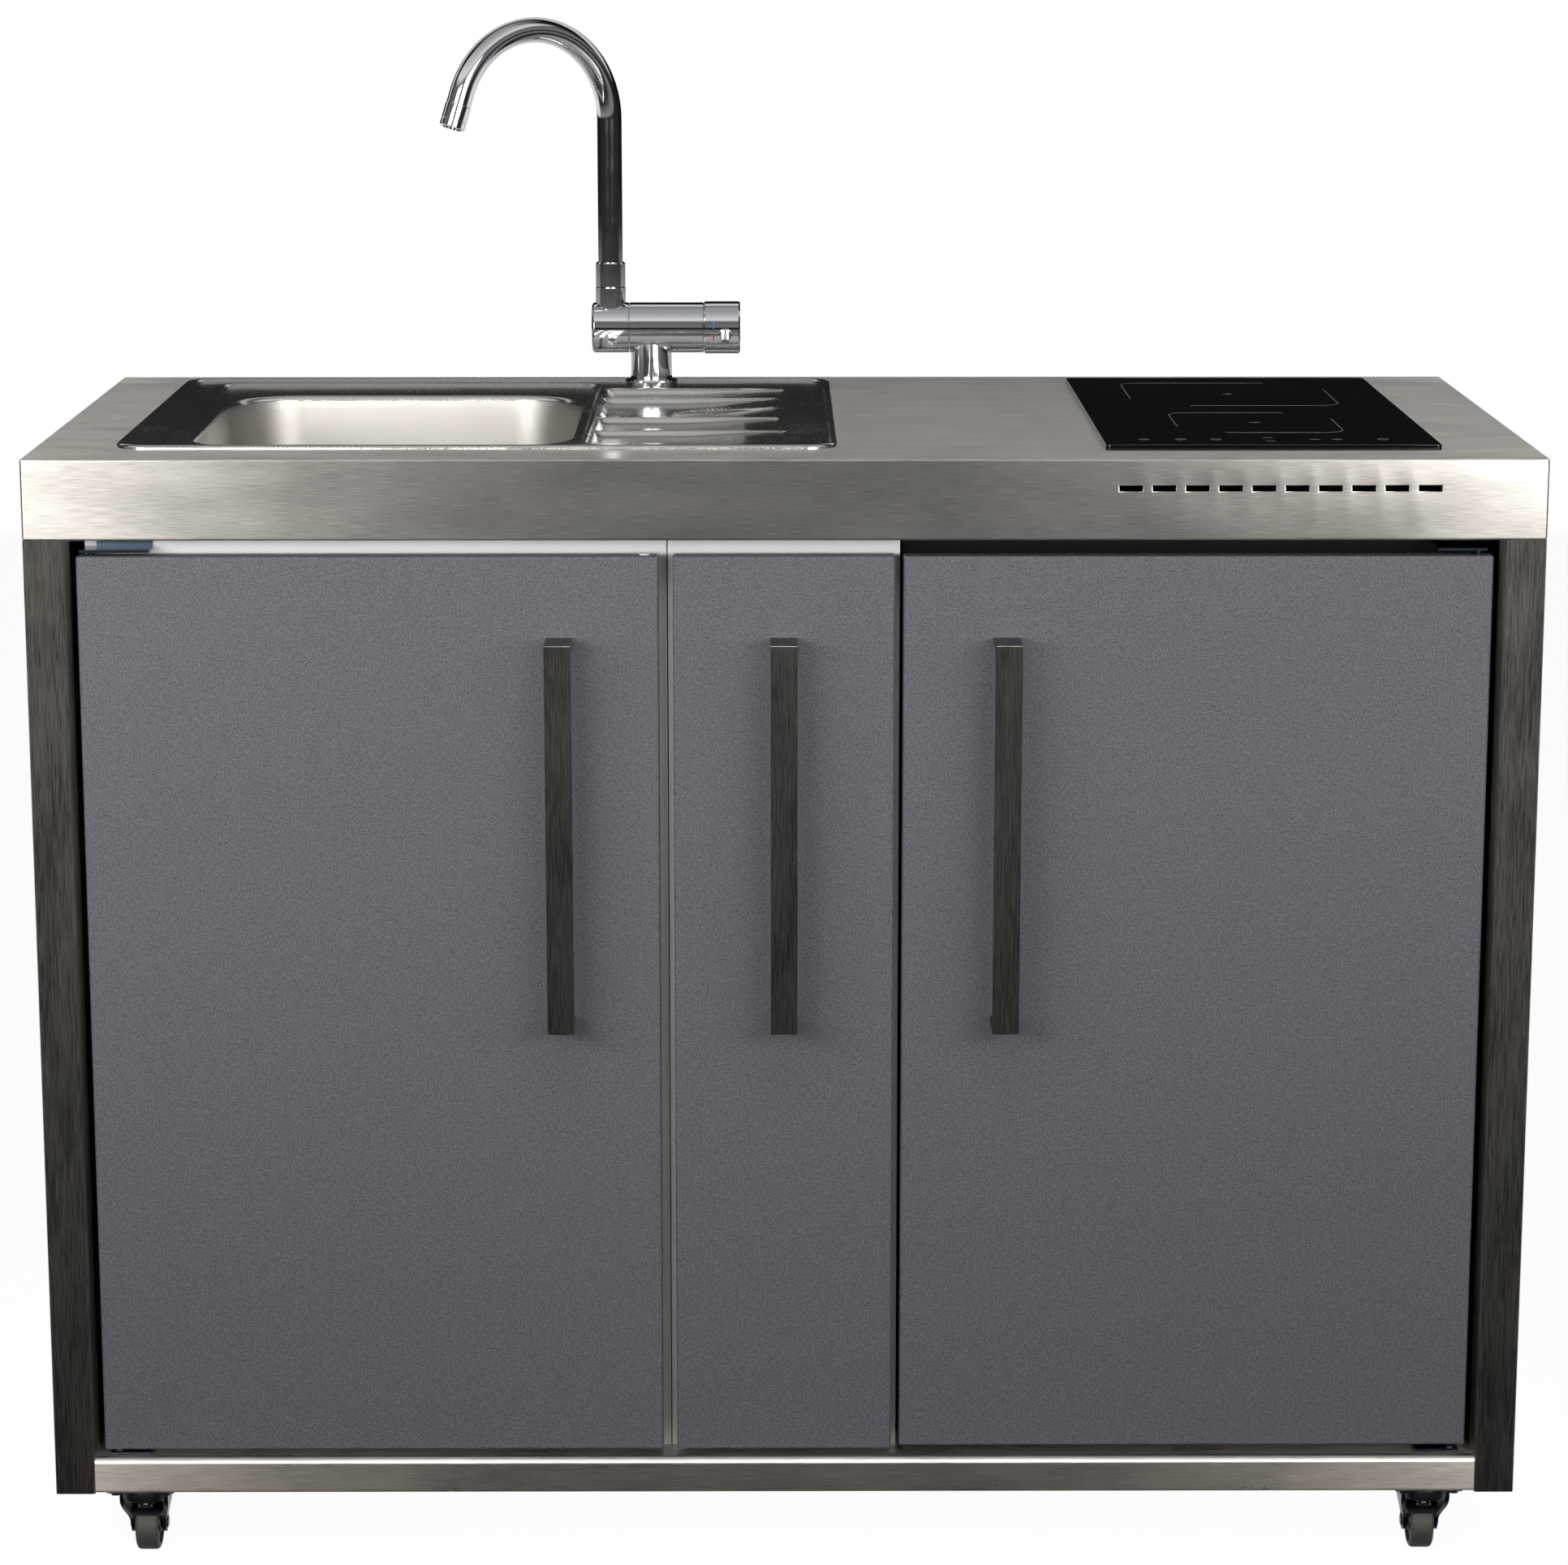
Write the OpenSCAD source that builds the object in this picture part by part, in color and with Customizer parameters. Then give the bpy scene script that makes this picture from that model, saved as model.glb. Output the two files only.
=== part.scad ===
// Outdoor kitchen unit on swivel casters: stainless worktop with an inset sink, a fold-down
// mixer tap and an induction hob, over a sink cupboard, a narrow pull-out and a refrigerator.
// The origin is on the floor under the middle of the unit; +X is right, +Y back, +Z up.

/* [Worktop and frame] */
// Height of the worktop above the floor
worktop_z = 1002; // [960:1:1050]
// Depth of the worktop, front to back
worktop_d = 620; // [600:5:680]
// Height of the folded edge round the worktop
fascia_h = 70; // [60:1:80]
// Sheet thickness of the worktop and the base tray
sheet_t = 2; // [1.5:0.1:2.5]
// Inward return along the lower edge of the fascia
fascia_return = 30; // [24:1:30]
// Side of the square leg tube
leg_w = 35; // [30:1:40]
// Wall of the square leg tube
leg_wall = 1.5; // [1:0.1:3]
// How far the legs stand behind the fascia
leg_recess = 1; // [0.5:0.5:4]
// How far the front of the base tray stands behind the fascia
tray_recess = 3; // [2:0.5:6]
// Height of the base tray
tray_h = 33; // [28:1:40]
// Depth of the returns under the tray, which carry the casters
tray_return = 92; // [90:1:110]
// Thickness of the side panels and the back panel
panel_t = 1.5; // [1:0.1:2]
// How far the side panels stand inside the outer faces of the legs
panel_recess = 5; // [2:1:12]
// Room behind the back panel for the water and waste connections
rear_space = 26; // [26:1:40]

/* [Vents] */
// Number of slots in the fascia in front of the hob
vent_count = 10; // [4:1:12]
// Length of a fascia slot
vent_w = 20; // [14:0.5:22]
// Height of a fascia slot
vent_h = 5.5; // [4:0.5:8]
// Distance from slot to slot
vent_pitch = 28.3; // [24:0.1:30]
// Middle of the slots below the worktop
vent_drop = 25.5; // [15:0.5:40]
// Length of a slot in the back panel
rear_vent_w = 60; // [40:1:70]
// Height of a slot in the back panel
rear_vent_h = 8; // [5:0.5:14]
// Distance from slot row to slot row in the back panel
rear_vent_pitch = 25; // [18:0.5:30]
// First slot row from the lower edge of the back panel, and last from the cabinets' top
rear_vent_edge = 60; // [30:1:100]

/* [Cabinets] */
// Gap between a leg and the cabinet beside it
side_gap = 13; // [10:1:20]
// Width of the sink cabinet
sink_cab_w = 500; // [480:5:560]
// Width of the pull-out cabinet
pull_cab_w = 200; // [190:1:260]
// Width of the refrigerator
fridge_w = 500; // [480:5:560]
// Gap between the sink cabinet and the pull-out cabinet
cab_gap = 1; // [0.5:0.1:3]
// Gap between the pull-out cabinet and the refrigerator
fridge_gap = 3; // [2:0.5:6]
// Sheet thickness of the two steel cabinets
cab_t = 1.5; // [1:0.1:2]
// Width of the sink cabinet's folded front edges
cab_lip = 14; // [10:1:16]
// Width of the pull-out cabinet's folded front edges
pull_lip = 6; // [4:0.5:6.5]
// How far the cabinets rise above the lower edge of the fascia
cab_rise = 6; // [2:1:15]
// Cabinet fronts behind the fascia
cab_recess = 36; // [36:1:42]
// Height of the plumbing gap left open at the top of the sink cabinet's back
service_gap = 338; // [300:1:400]
// Height of the shelf above the cabinet's floor
shelf_h = 300; // [200:5:400]
// Depth of the shelf
shelf_d = 420; // [300:5:500]
// Height of the shelf's turned-down front and rear edges
shelf_edge = 18; // [12:1:30]

/* [Doors] */
// Thickness of the three fronts
door_t = 19; // [16:0.5:20]
// Sheet thickness of the folded fronts
front_sheet = 1.2; // [0.8:0.1:1.5]
// Face of the fronts behind the fascia
door_recess = 10; // [8:0.5:12]
// Upper edge of the fronts below the worktop
door_top_drop = 85; // [84:0.5:95]
// Gap between the base tray and the fronts
door_foot_gap = 5; // [4.5:0.1:8]
// How much higher the refrigerator's front ends at the foot
fridge_lift = 3; // [1:0.5:6]
// How far the outer doors stand past their cabinets towards the legs
door_over = 4.5; // [3:0.5:5]
// How far the sink door ends inside its cabinet at the free edge
door_inset = 6.5; // [4:0.5:8]
// How far the pull-out front ends inside its cabinet on both sides
pull_inset = 4.7; // [3:0.1:6]
// How far the refrigerator door stands past its cabinet at the free edge
fridge_over = 0.5; // [0:0.1:1]
// Hinge axis inside the outer edge of a door
pivot_inset = 12; // [11:0.5:14]
// Radius of a hinge pin
pin_r = 3; // [2.5:0.1:3.5]
// How deep a hinge pin reaches into the door
pin_depth = 12; // [8:0.5:16]
// Thickness of the hinge plates
plate_t = 2.5; // [2:0.1:3]
// Width of an upper hinge plate
top_plate_w = 60; // [40:1:70]
// Width of a lower hinge plate
foot_plate_w = 38; // [30:1:50]
// Width of the refrigerator's upper hinge plate
fridge_plate_w = 42; // [30:1:60]
// How far the refrigerator's upper hinge plate lies on its cabinet
fridge_plate_l = 60; // [40:1:90]
// Radius of the white plug in the spare hinge hole
plug_r = 4.5; // [4:0.1:6]

/* [Handles] */
// Width of the flat bar
handle_w = 23; // [18:0.5:28]
// Length of a handle
handle_len = 341; // [250:1:420]
// Thickness of the flat bar
handle_t = 6; // [4:0.5:8]
// How far a handle stands out from the door
handle_reach = 42; // [35:0.5:50]
// Upper end of a handle below the door's top
handle_drop = 70.5; // [50:0.5:120]
// Middle of the sink door's handle from the free edge
handle_inset = 85.5; // [60:0.5:120]
// Middle of the refrigerator's handle from the free edge
fridge_handle_inset = 89; // [60:0.5:120]

/* [Pull-out] */
// Length of the runners
runner_len = 500; // [450:5:510]
// Height of a runner
runner_h = 35; // [30:1:45]
// Width of an outer runner
runner_w = 11; // [10:0.5:12]
// Depth of the groove in an outer runner
groove_d = 6; // [5:0.5:7]
// Lower runner above the cabinet's floor
runner_low = 60; // [40:1:90]
// Upper runner below the cabinet's top
runner_high = 110; // [90:1:150]
// Thickness of the pull-out's frame sheet
frame_t = 2; // [1.5:0.1:3]
// Number of trays
tray_count = 3; // [2:1:4]
// Height of a tray's walls
tray_wall = 70; // [40:1:110]
// Sheet thickness of a tray
tray_t = 1.5; // [1:0.1:2]

/* [Refrigerator] */
// Thickness of the insulated walls
wall_t = 36; // [30:1:40]
// Sheet thickness of the cabinet's shell
fridge_sheet = 0.8; // [0.5:0.1:1]
// Thickness of the liner
liner_t = 1.5; // [1:0.1:2]
// Thickness of the insulated inner door
inner_door_t = 37; // [32:0.5:38]
// Thickness of the door gasket
gasket_t = 8; // [6:0.5:9]
// Width of the door gasket
gasket_w = 14; // [10:0.5:18]
// Depth of the compressor recess
recess_d = 150; // [140:1:160]
// Height of the compressor recess
recess_h = 190; // [180:1:220]
// Radius of the compressor's shell
compressor_r = 62; // [50:1:66]
// Height of the compressor's shell
compressor_h = 140; // [120:1:150]
// Middle of the compressor from the refrigerator's right side
compressor_side = 170; // [90:5:380]
// Thickness of a glass shelf
glass_t = 5; // [4:0.5:6]
// Width of the ribs that carry the glass shelves
rib_w = 6; // [4:0.5:8]
// Lower glass shelf above the liner's floor
low_shelf = 235; // [225:5:260]
// Upper glass shelf above the lower one
shelf_pitch = 215; // [150:5:240]
// Depth of a door rack
rack_d = 62; // [40:1:65]
// Height of a door rack
rack_h = 70; // [50:1:90]
// Distance of a door rack from the inner door's edges
rack_inset = 54; // [54:1:80]
// Radius of the thermostat knob
knob_r = 15; // [12:0.5:18]
// Radius of the condenser's tube
coil_r = 2.4; // [2:0.1:2.5]
// Number of the condenser's cross tubes
coil_count = 9; // [5:1:12]

/* [Sink] */
// Width of the sink
sink_w = 626; // [610:1:640]
// Depth of the sink
sink_d = 515; // [500:1:530]
// Left edge of the sink from the left end of the worktop
sink_side = 70; // [65:1:80]
// Front edge of the sink from the front of the worktop
sink_front = 62; // [60:1:68]
// Radius of the sink's outer corners
sink_r = 28; // [20:1:40]
// Sheet thickness of the sink
sink_t = 1; // [0.8:0.1:1.5]
// Height of the raised rim
rim_h = 4; // [3:0.1:5]
// Width of the raised rim
rim_w = 8; // [6:0.5:8]
// Width of the bowl at its top
bowl_w = 342; // [330:1:350]
// Length of the bowl from front to back at its top
bowl_l = 385; // [370:1:390]
// Depth of the bowl
bowl_depth = 150; // [130:1:170]
// Left edge of the bowl from the sink's left edge
bowl_side = 53; // [48:1:60]
// Front edge of the bowl from the sink's front edge
bowl_front = 35; // [30:1:40]
// Corner radius of the bowl
bowl_r = 68; // [50:1:90]
// How far the bowl's walls draw in towards the floor
bowl_draft = 16; // [8:1:24]
// Depth of the step round the bowl
step_depth = 3; // [2:0.5:4]
// Width of the step round the bowl at its rear
step_rear = 74; // [60:1:78]
// Width of the drainer
drainer_w = 178; // [160:1:190]
// Length of the drainer from front to back
drainer_l = 420; // [400:1:424]
// Depth of the drainer
drainer_depth = 7; // [5:0.5:10]
// Number of ribs on the drainer
rib_count = 5; // [3:1:6]
// Width of a drainer rib
drain_rib_w = 9; // [7:0.5:12]
// Height of a drainer rib
drain_rib_h = 4; // [3:0.5:5]
// Radius of the hole for the waste
waste_r = 43; // [38:0.5:45]

/* [Waste and water] */
// Depth of the waste cup under the bowl
cup_depth = 36; // [30:1:45]
// Height of the strainer basket
strainer_h = 22; // [18:1:26]
// Radius of the waste pipe
pipe_r = 20; // [16:0.5:25]
// Height of the waste outlet below the worktop
outlet_drop = 262; // [250:1:290]
// Radius of the bottle trap
trap_r = 32; // [28:1:38]
// Radius of the water inlets
inlet_r = 10.4; // [9:0.1:13]
// Middle of the cold inlet from the sink cupboard's right side
inlet_side = 17; // [17:1:60]
// Radius of the hoses
hose_r = 5; // [4:0.5:6]
// Bend radius of the hoses
hose_bend = 25; // [20:1:28]

/* [Tap] */
// Middle of the tap's foot from the bowl's right edge
tap_side = 58; // [50:1:66]
// Middle of the tap's foot from the sink's rear edge
tap_rear = 34; // [34:0.5:38]
// Radius of the tap's foot
foot_r = 25.5; // [22:0.5:25.5]
// Radius of the riser under the barrel
riser_r = 18.2; // [16:0.1:20]
// Height of the barrel's axis above the worktop
barrel_h = 56.5; // [50:0.5:70]
// Radius of the barrel
barrel_r = 24.2; // [22:0.1:26]
// Length of the fold-down knuckle
knuckle_len = 36; // [34:0.5:44]
// Length of the fixed barrel
barrel_len = 72; // [60:0.5:90]
// Left end of the fixed barrel from the middle of the foot
barrel_left = 21; // [20:0.5:26]
// Length of the control ring
ring_len = 35; // [28:0.5:42]
// Radius of the spigots that the knuckle and the ring turn on
spigot_r = 15; // [12:0.1:16]
// Radius of the collars under the spout
collar_r = 14.5; // [14:0.1:16]
// Joint between the two collars above the worktop
collar_h = 95.6; // [92:0.1:110]
// Upper end of the collars above the worktop
collar_top = 119.7; // [112:0.1:140]
// Radius of the spout's tube
tube_r = 11.75; // [10:0.05:13]
// Wall of the spout's tube
tube_wall = 1.5; // [1:0.1:2.5]
// Start of the spout's bend above the worktop
bend_h = 256; // [220:1:300]
// Radius of the spout's bend
bend_r = 86; // [70:1:100]
// Angle of the spout's bend
bend_angle = 160; // [150:1:180]
// Straight end of the tube below the bend
tube_end = 12; // [6:1:20]
// Length of the aerator
aerator_len = 22; // [16:1:28]
// Direction in which the spout points, from +X
spout_dir = 216.5; // [180:0.5:250]
// Radius of the control pin
lever_r = 3.6; // [3:0.1:5]
// Reach of the control pin from the barrel's axis
lever_reach = 46; // [40:1:60]
// Slope of the control pin below level
lever_slope = 12; // [0:1:30]

/* [Hob] */
// Width of the hob's glass
hob_w = 290; // [280:1:300]
// Depth of the hob's glass
hob_d = 510; // [490:1:520]
// Thickness of the hob's glass
hob_t = 5; // [4:0.5:6]
// Right edge of the hob from the right end of the worktop
hob_side = 83.5; // [75:0.5:95]
// Front edge of the hob from the front of the worktop
hob_front = 55; // [50:1:65]
// Corner radius of the hob's glass
hob_r = 4; // [2:0.5:8]
// How far the worktop carries the glass along its edges
hob_bearing = 10; // [8:0.5:12]
// Depth of the hob's housing
housing_h = 50; // [45:1:55]
// Middle of the rear zone from the glass's rear edge
rear_zone = 173; // [120:1:180]
// Middle of the front zone from the glass's front edge
front_zone = 127; // [115:1:135]
// Radius of the rear coil
rear_coil_r = 90; // [80:1:100]
// Radius of the front coil
front_coil_r = 70; // [60:1:80]

/* [Casters] */
// Side of a caster's square plate
caster_plate = 60; // [58:1:64]
// Thickness of a caster's plate
caster_plate_t = 2.5; // [2:0.1:4]
// Middle of a caster from the side of the tray
caster_side = 39; // [38:0.5:50]
// Middle of a front caster behind the front of the tray
caster_front = 36; // [35:0.5:45]
// Middle of a rear caster before the rear of the tray
caster_rear = 57; // [57:0.5:60]
// Radius of a wheel
wheel_r = 25; // [22:0.5:26]
// Width of a wheel
wheel_w = 20.5; // [18:0.5:25]
// Distance of the axle behind the swivel axis
trail = 22; // [20:0.5:24]
// Radius of the swivel head
head_r = 22.5; // [20:0.5:24]
// Height of the swivel head
head_h = 19; // [16:0.5:20]
// Height of a caster, from the floor to the tray
caster_h = 74; // [73:0.5:80]
// Radius of the kingpin
kingpin_r = 5; // [4:0.1:6]
// Radius of an axle
axle_r = 3; // [2.5:0.1:4]
// Thickness of a fork cheek
cheek_t = 4; // [3:0.5:5]
// Distance between the bolts of a caster
bolt_pitch = 46; // [44:0.5:48]
// Radius of a caster bolt
bolt_r = 2.9; // [2.5:0.1:3]

/* [Clearances] */
// Radial clearance of a turning fit
run = 0.05; // [0.03:0.01:0.08]
// Gap between faces that move past each other
slip = 0.3; // [0.2:0.05:0.5]
// Radial clearance of a bolt, pipe or plug in its hole
ease = 0.2; // [0.1:0.05:0.3]

/* [Hidden] */
$fn = 64;

// Widths across the unit
unit_w = 2*leg_w + 2*side_gap + sink_cab_w + pull_cab_w + fridge_w + cab_gap + fridge_gap;
right = unit_w/2;
left = -right;
inner_left = left + leg_w;
inner_right = right - leg_w;
sink_cab_x0 = inner_left + side_gap;
sink_cab_x1 = sink_cab_x0 + sink_cab_w;
pull_x0 = sink_cab_x1 + cab_gap;
pull_x1 = pull_x0 + pull_cab_w;
fridge_x0 = pull_x1 + fridge_gap;
fridge_x1 = fridge_x0 + fridge_w;

// Depths, with the handles counted in the unit's full depth
handle_proud = handle_reach - door_recess;
front = (handle_proud - worktop_d)/2;
back = front + worktop_d;
door_y0 = front + door_recess;
door_y1 = door_y0 + door_t;
cab_y0 = front + cab_recess;
panel_y0 = back - rear_space;
cab_y1 = panel_y0 - 10;
leg_y0 = front + leg_recess;
rear_leg_y1 = back - leg_recess;
tray_y0 = front + tray_recess;
tray_y1 = back - leg_recess;

// Heights
top = worktop_z;
fascia_z = top - fascia_h;
base_z = caster_h;
floor_z = base_z + tray_h;
cab_z1 = fascia_z + cab_rise;
door_z1 = top - door_top_drop;
door_z0 = floor_z + door_foot_gap;
fridge_door_z0 = door_z0 + fridge_lift;
deck_z = top + sink_t;

// Doors
left_door_x0 = sink_cab_x0 - door_over;
left_door_x1 = sink_cab_x1 - door_inset;
pull_front_x0 = pull_x0 + pull_inset;
pull_front_x1 = pull_x1 - pull_inset;
fridge_door_x0 = fridge_x0 - fridge_over;
fridge_door_x1 = fridge_x1 + door_over;
pivot_y = (door_y0 + door_y1)/2;
left_pivot_x = left_door_x0 + pivot_inset;
right_pivot_x = fridge_door_x1 - pivot_inset;
left_handle_x = left_door_x1 - handle_inset;
pull_handle_x = (pull_front_x0 + pull_front_x1)/2;
fridge_handle_x = fridge_door_x0 + fridge_handle_inset;
plug_x = left_door_x1 - pivot_inset;
handle_z1 = door_z1 - handle_drop;
handle_z0 = handle_z1 - handle_len;

// Refrigerator
fridge_z1 = fascia_z - 11;
fridge_y0 = door_y1 + inner_door_t + gasket_t + slip;
cavity_x0 = fridge_x0 + wall_t;
cavity_x1 = fridge_x1 - wall_t;
cavity_z0 = floor_z + wall_t;
cavity_z1 = fridge_z1 - wall_t;
cavity_step = floor_z + recess_h + wall_t;
cavity_back = cab_y1 - wall_t;
recess_side = 3;
cavity_low_back = cab_y1 - recess_d - wall_t;
low_shelf_z = cavity_z0 + low_shelf;
high_shelf_z = low_shelf_z + shelf_pitch;
inner_door_x0 = fridge_door_x0 + 5;
inner_door_x1 = fridge_door_x1 - 8;
inner_door_z0 = fridge_door_z0 + 6;
inner_door_z1 = door_z1 - 6;
rack_x0 = inner_door_x0 + rack_inset;
rack_x1 = inner_door_x1 - rack_inset;
rack_zs = [cavity_z0 + 30, low_shelf_z + 40, high_shelf_z + 30];
thermo_y = (fridge_y0 + cavity_back)/2;
thermo_z = cavity_z1 - 60;
thermo_w = 26;
thermo_x0 = cavity_x1 - liner_t - thermo_w;

// Sink, waste and tap
sink_x0 = left + sink_side;
sink_x1 = sink_x0 + sink_w;
sink_y0 = front + sink_front;
sink_y1 = sink_y0 + sink_d;
bowl_x0 = sink_x0 + bowl_side;
bowl_x1 = bowl_x0 + bowl_w;
bowl_y0 = sink_y0 + bowl_front;
bowl_y1 = bowl_y0 + bowl_l;
bowl_z = deck_z - bowl_depth;
waste_x = (bowl_x0 + bowl_x1)/2;
waste_y = (bowl_y0 + bowl_y1)/2;
step_side = 10;
drainer_x0 = bowl_x1 + step_side + 4;
drainer_x1 = drainer_x0 + drainer_w;
drainer_y0 = bowl_y0;
drainer_y1 = drainer_y0 + drainer_l;
sink_cut = 9;
outlet_z = top - outlet_drop;
flange_t = 2;
cup_r = waste_r - ease;
cup_z = bowl_z - cup_depth;
strainer_r = cup_r - 5;
strainer_z = bowl_z + sink_t + 2.5 - strainer_h;
tap_x = bowl_x1 + tap_side;
tap_y = sink_y1 - tap_rear;
axis_z = top + barrel_h;
barrel_x0 = tap_x - barrel_left;
barrel_x1 = barrel_x0 + barrel_len;
spout_x = barrel_x0 - knuckle_len/2;
shank_r = 16;
tap_hole_r = 17.5;
shank_z = top - 48;
nut_r = tap_rear - sink_cut - 1.5;
inlet_y0 = panel_y0 - 15;
inlet_y1 = back - 5;
hose_xs = [tap_x - 8, tap_x + 8];
inlet_xs = [sink_cab_x1 - inlet_side - 16, sink_cab_x1 - inlet_side];
inlet_zs = [outlet_z, outlet_z - 50];
sleeve_r = hose_r + 1.5;
sleeve_len = 22;
join_z = inlet_zs[0] + hose_bend + 40;

// Hob
hob_x1 = right - hob_side;
hob_x0 = hob_x1 - hob_w;
hob_y0 = front + hob_front;
hob_y1 = hob_y0 + hob_d;
hob_x = (hob_x0 + hob_x1)/2;
housing_in = hob_bearing + 4;
housing_t = 1;
housing_z = top - housing_h;
coil_z = top - 12;
rear_coil_y = hob_y1 - rear_zone;
front_coil_y = hob_y0 + front_zone;
fan_w = 70;
fan_d = 40;
fan_h = 24;
fan_x = hob_x0 + housing_in + 43;
fan_y = hob_y0 + housing_in + 28;
fan_z = housing_z + housing_t;
rotor_r = 15;
blade_count = 12;

// Casters
head_z1 = base_z - caster_plate_t - slip;
head_z0 = head_z1 - head_h;
caster_xs = [inner_left + caster_side, inner_right - caster_side];
caster_ys = [tray_y0 + caster_front, tray_y1 - caster_rear];
caster_spots = [
    [caster_xs[0], caster_ys[0]],
    [caster_xs[1], caster_ys[0]],
    [caster_xs[0], caster_ys[1]],
    [caster_xs[1], caster_ys[1]]
];

// How much a bent tube narrows in its bend
bend_ease = 0.03;

// Pull-out
runner_zs = [floor_z + runner_low, cab_z1 - runner_high];
runner_y0 = cab_y0 + cab_t + 1;
carrier_x0 = pull_x0 + cab_t + runner_w + slip;
carrier_x1 = pull_x1 - cab_t - runner_w - slip;
frame_y0 = door_y1;
frame_y1 = runner_y0 + runner_len - 25;
frame_z0 = runner_zs[0] - 20;
frame_z1 = runner_zs[1] + runner_h + 20;
tray_x0 = carrier_x0 + frame_t + 1;
tray_x1 = carrier_x1 - frame_t - 1;
tray_step = (frame_z1 - frame_z0)/tray_count;

// A box between two corners, given as x, y and z pairs
module block(xs, ys, zs) {
    translate([xs[0], ys[0], zs[0]]) cube([xs[1] - xs[0], ys[1] - ys[0], zs[1] - zs[0]]);
}

// A flat rectangle with round corners
module round_rect(xs, ys, r) {
    translate([xs[0] + r, ys[0]]) square([xs[1] - xs[0] - 2*r, ys[1] - ys[0]]);
    translate([xs[0], ys[0] + r]) square([xs[1] - xs[0], ys[1] - ys[0] - 2*r]);
    for (x = [xs[0] + r, xs[1] - r])
        for (y = [ys[0] + r, ys[1] - r])
            translate([x, y]) circle(r);
}

// The same rectangle as a plate between two heights
module round_plate(xs, ys, zs, r) {
    translate([0, 0, zs[0]]) linear_extrude(zs[1] - zs[0]) round_rect(xs, ys, r);
}

// Round bars along the three axes
module rod_z(x, y, zs, r) {
    translate([x, y, zs[0]]) cylinder(h = zs[1] - zs[0], r = r);
}

module rod_y(x, ys, z, r) {
    translate([x, ys[1], z]) rotate([90, 0, 0]) cylinder(h = ys[1] - ys[0], r = r);
}

module rod_x(xs, y, z, r) {
    translate([xs[0], y, z]) rotate([0, 90, 0]) cylinder(h = xs[1] - xs[0], r = r);
}

// A hexagon nut or head, standing on the given height
module hexagon(x, y, zs, r) {
    translate([x, y, zs[0]]) cylinder(h = zs[1] - zs[0], r = r, $fn = 6);
}

module hexagon_y(x, ys, z, r) {
    translate([x, ys[1], z]) rotate([90, 0, 0]) cylinder(h = ys[1] - ys[0], r = r, $fn = 6);
}

function grow(pair, by) = [pair[0] - by, pair[1] + by];

// Worktop: one folded sheet with its fascia, the two cut-outs and the vent slots
module worktop() {
    color([0.66, 0.65, 0.63]) difference() {
        block([left, right], [front, back], [fascia_z, top]);
        block(grow([left, right], -sheet_t), grow([front, back], -sheet_t),
              [fascia_z + sheet_t, top - sheet_t]);
        block(grow([left, right], -fascia_return), grow([front, back], -fascia_return),
              [fascia_z - 1, fascia_z + sheet_t + 1]);
        round_plate(grow([sink_x0, sink_x1], -sink_cut), grow([sink_y0, sink_y1], -sink_cut),
                    [top - sheet_t - 1, top + 1], sink_r - sink_cut/2);
        block(grow([hob_x0, hob_x1], -hob_bearing), grow([hob_y0, hob_y1], -hob_bearing),
              [top - sheet_t - 1, top + 1]);
        for (i = [0 : vent_count - 1])
            translate([hob_x + (i - (vent_count - 1)/2)*vent_pitch - vent_w/2, front - 1,
                       top - vent_drop - vent_h/2])
                cube([vent_w, sheet_t + 2, vent_h]);
    }
}

// Leg: a square tube between the floor of the frame and the fascia
module leg(x0, y0) {
    color([0.30, 0.29, 0.28]) difference() {
        block([x0, x0 + leg_w], [y0, y0 + leg_w], [base_z, fascia_z]);
        block([x0 + leg_wall, x0 + leg_w - leg_wall], [y0 + leg_wall, y0 + leg_w - leg_wall],
              [base_z - 1, fascia_z + 1]);
    }
}

// Side panels: a sheet at each end, between the front leg and the rear leg, with its lower
// edge turned in to the base tray
module side_panels() {
    ys = [leg_y0 + leg_w, rear_leg_y1 - leg_w];
    color([0.55, 0.55, 0.54]) {
        block([left + panel_recess, left + panel_recess + panel_t], ys, [base_z, fascia_z]);
        block([left + panel_recess, inner_left], ys, [base_z, base_z + panel_t]);
        block([right - panel_recess - panel_t, right - panel_recess], ys, [base_z, fascia_z]);
        block([inner_right, right - panel_recess], ys, [base_z, base_z + panel_t]);
    }
}

// Back panel: a sheet between the rear legs, with vents and the holes for the connections
module back_panel() {
    color([0.55, 0.55, 0.54]) difference() {
        block([inner_left, inner_right], [panel_y0, panel_y0 + panel_t], [floor_z, fascia_z]);
        rod_y(waste_x, [panel_y0 - 1, panel_y0 + panel_t + 1], outlet_z, pipe_r + ease);
        for (i = [0 : 1])
            rod_y(inlet_xs[i], [panel_y0 - 1, panel_y0 + panel_t + 1], inlet_zs[i],
                  inlet_r + ease);
        for (z = concat([for (i = [0 : 2]) floor_z + rear_vent_edge + i*rear_vent_pitch],
                        [for (i = [1 : 2]) cab_z1 - rear_vent_edge - i*rear_vent_pitch]))
            for (i = [0 : 4])
                translate([fridge_x0 + rear_vent_edge + i*(rear_vent_w + 20), panel_y0 - 1, z])
                    cube([rear_vent_w, panel_t + 2, rear_vent_h]);
    }
}

// Base tray: a folded tray that ties the legs together and carries everything
module base_tray() {
    color([0.60, 0.58, 0.56]) difference() {
        block([inner_left, inner_right], [tray_y0, tray_y1], [base_z, floor_z]);
        block(grow([inner_left, inner_right], -sheet_t), grow([tray_y0, tray_y1], -sheet_t),
              [base_z + sheet_t, floor_z - sheet_t]);
        block(grow([inner_left, inner_right], -sheet_t), grow([tray_y0, tray_y1], -tray_return),
              [base_z - 1, base_z + sheet_t + 1]);
        caster_holes([base_z - 1, base_z + sheet_t + 1]);
    }
}

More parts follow.
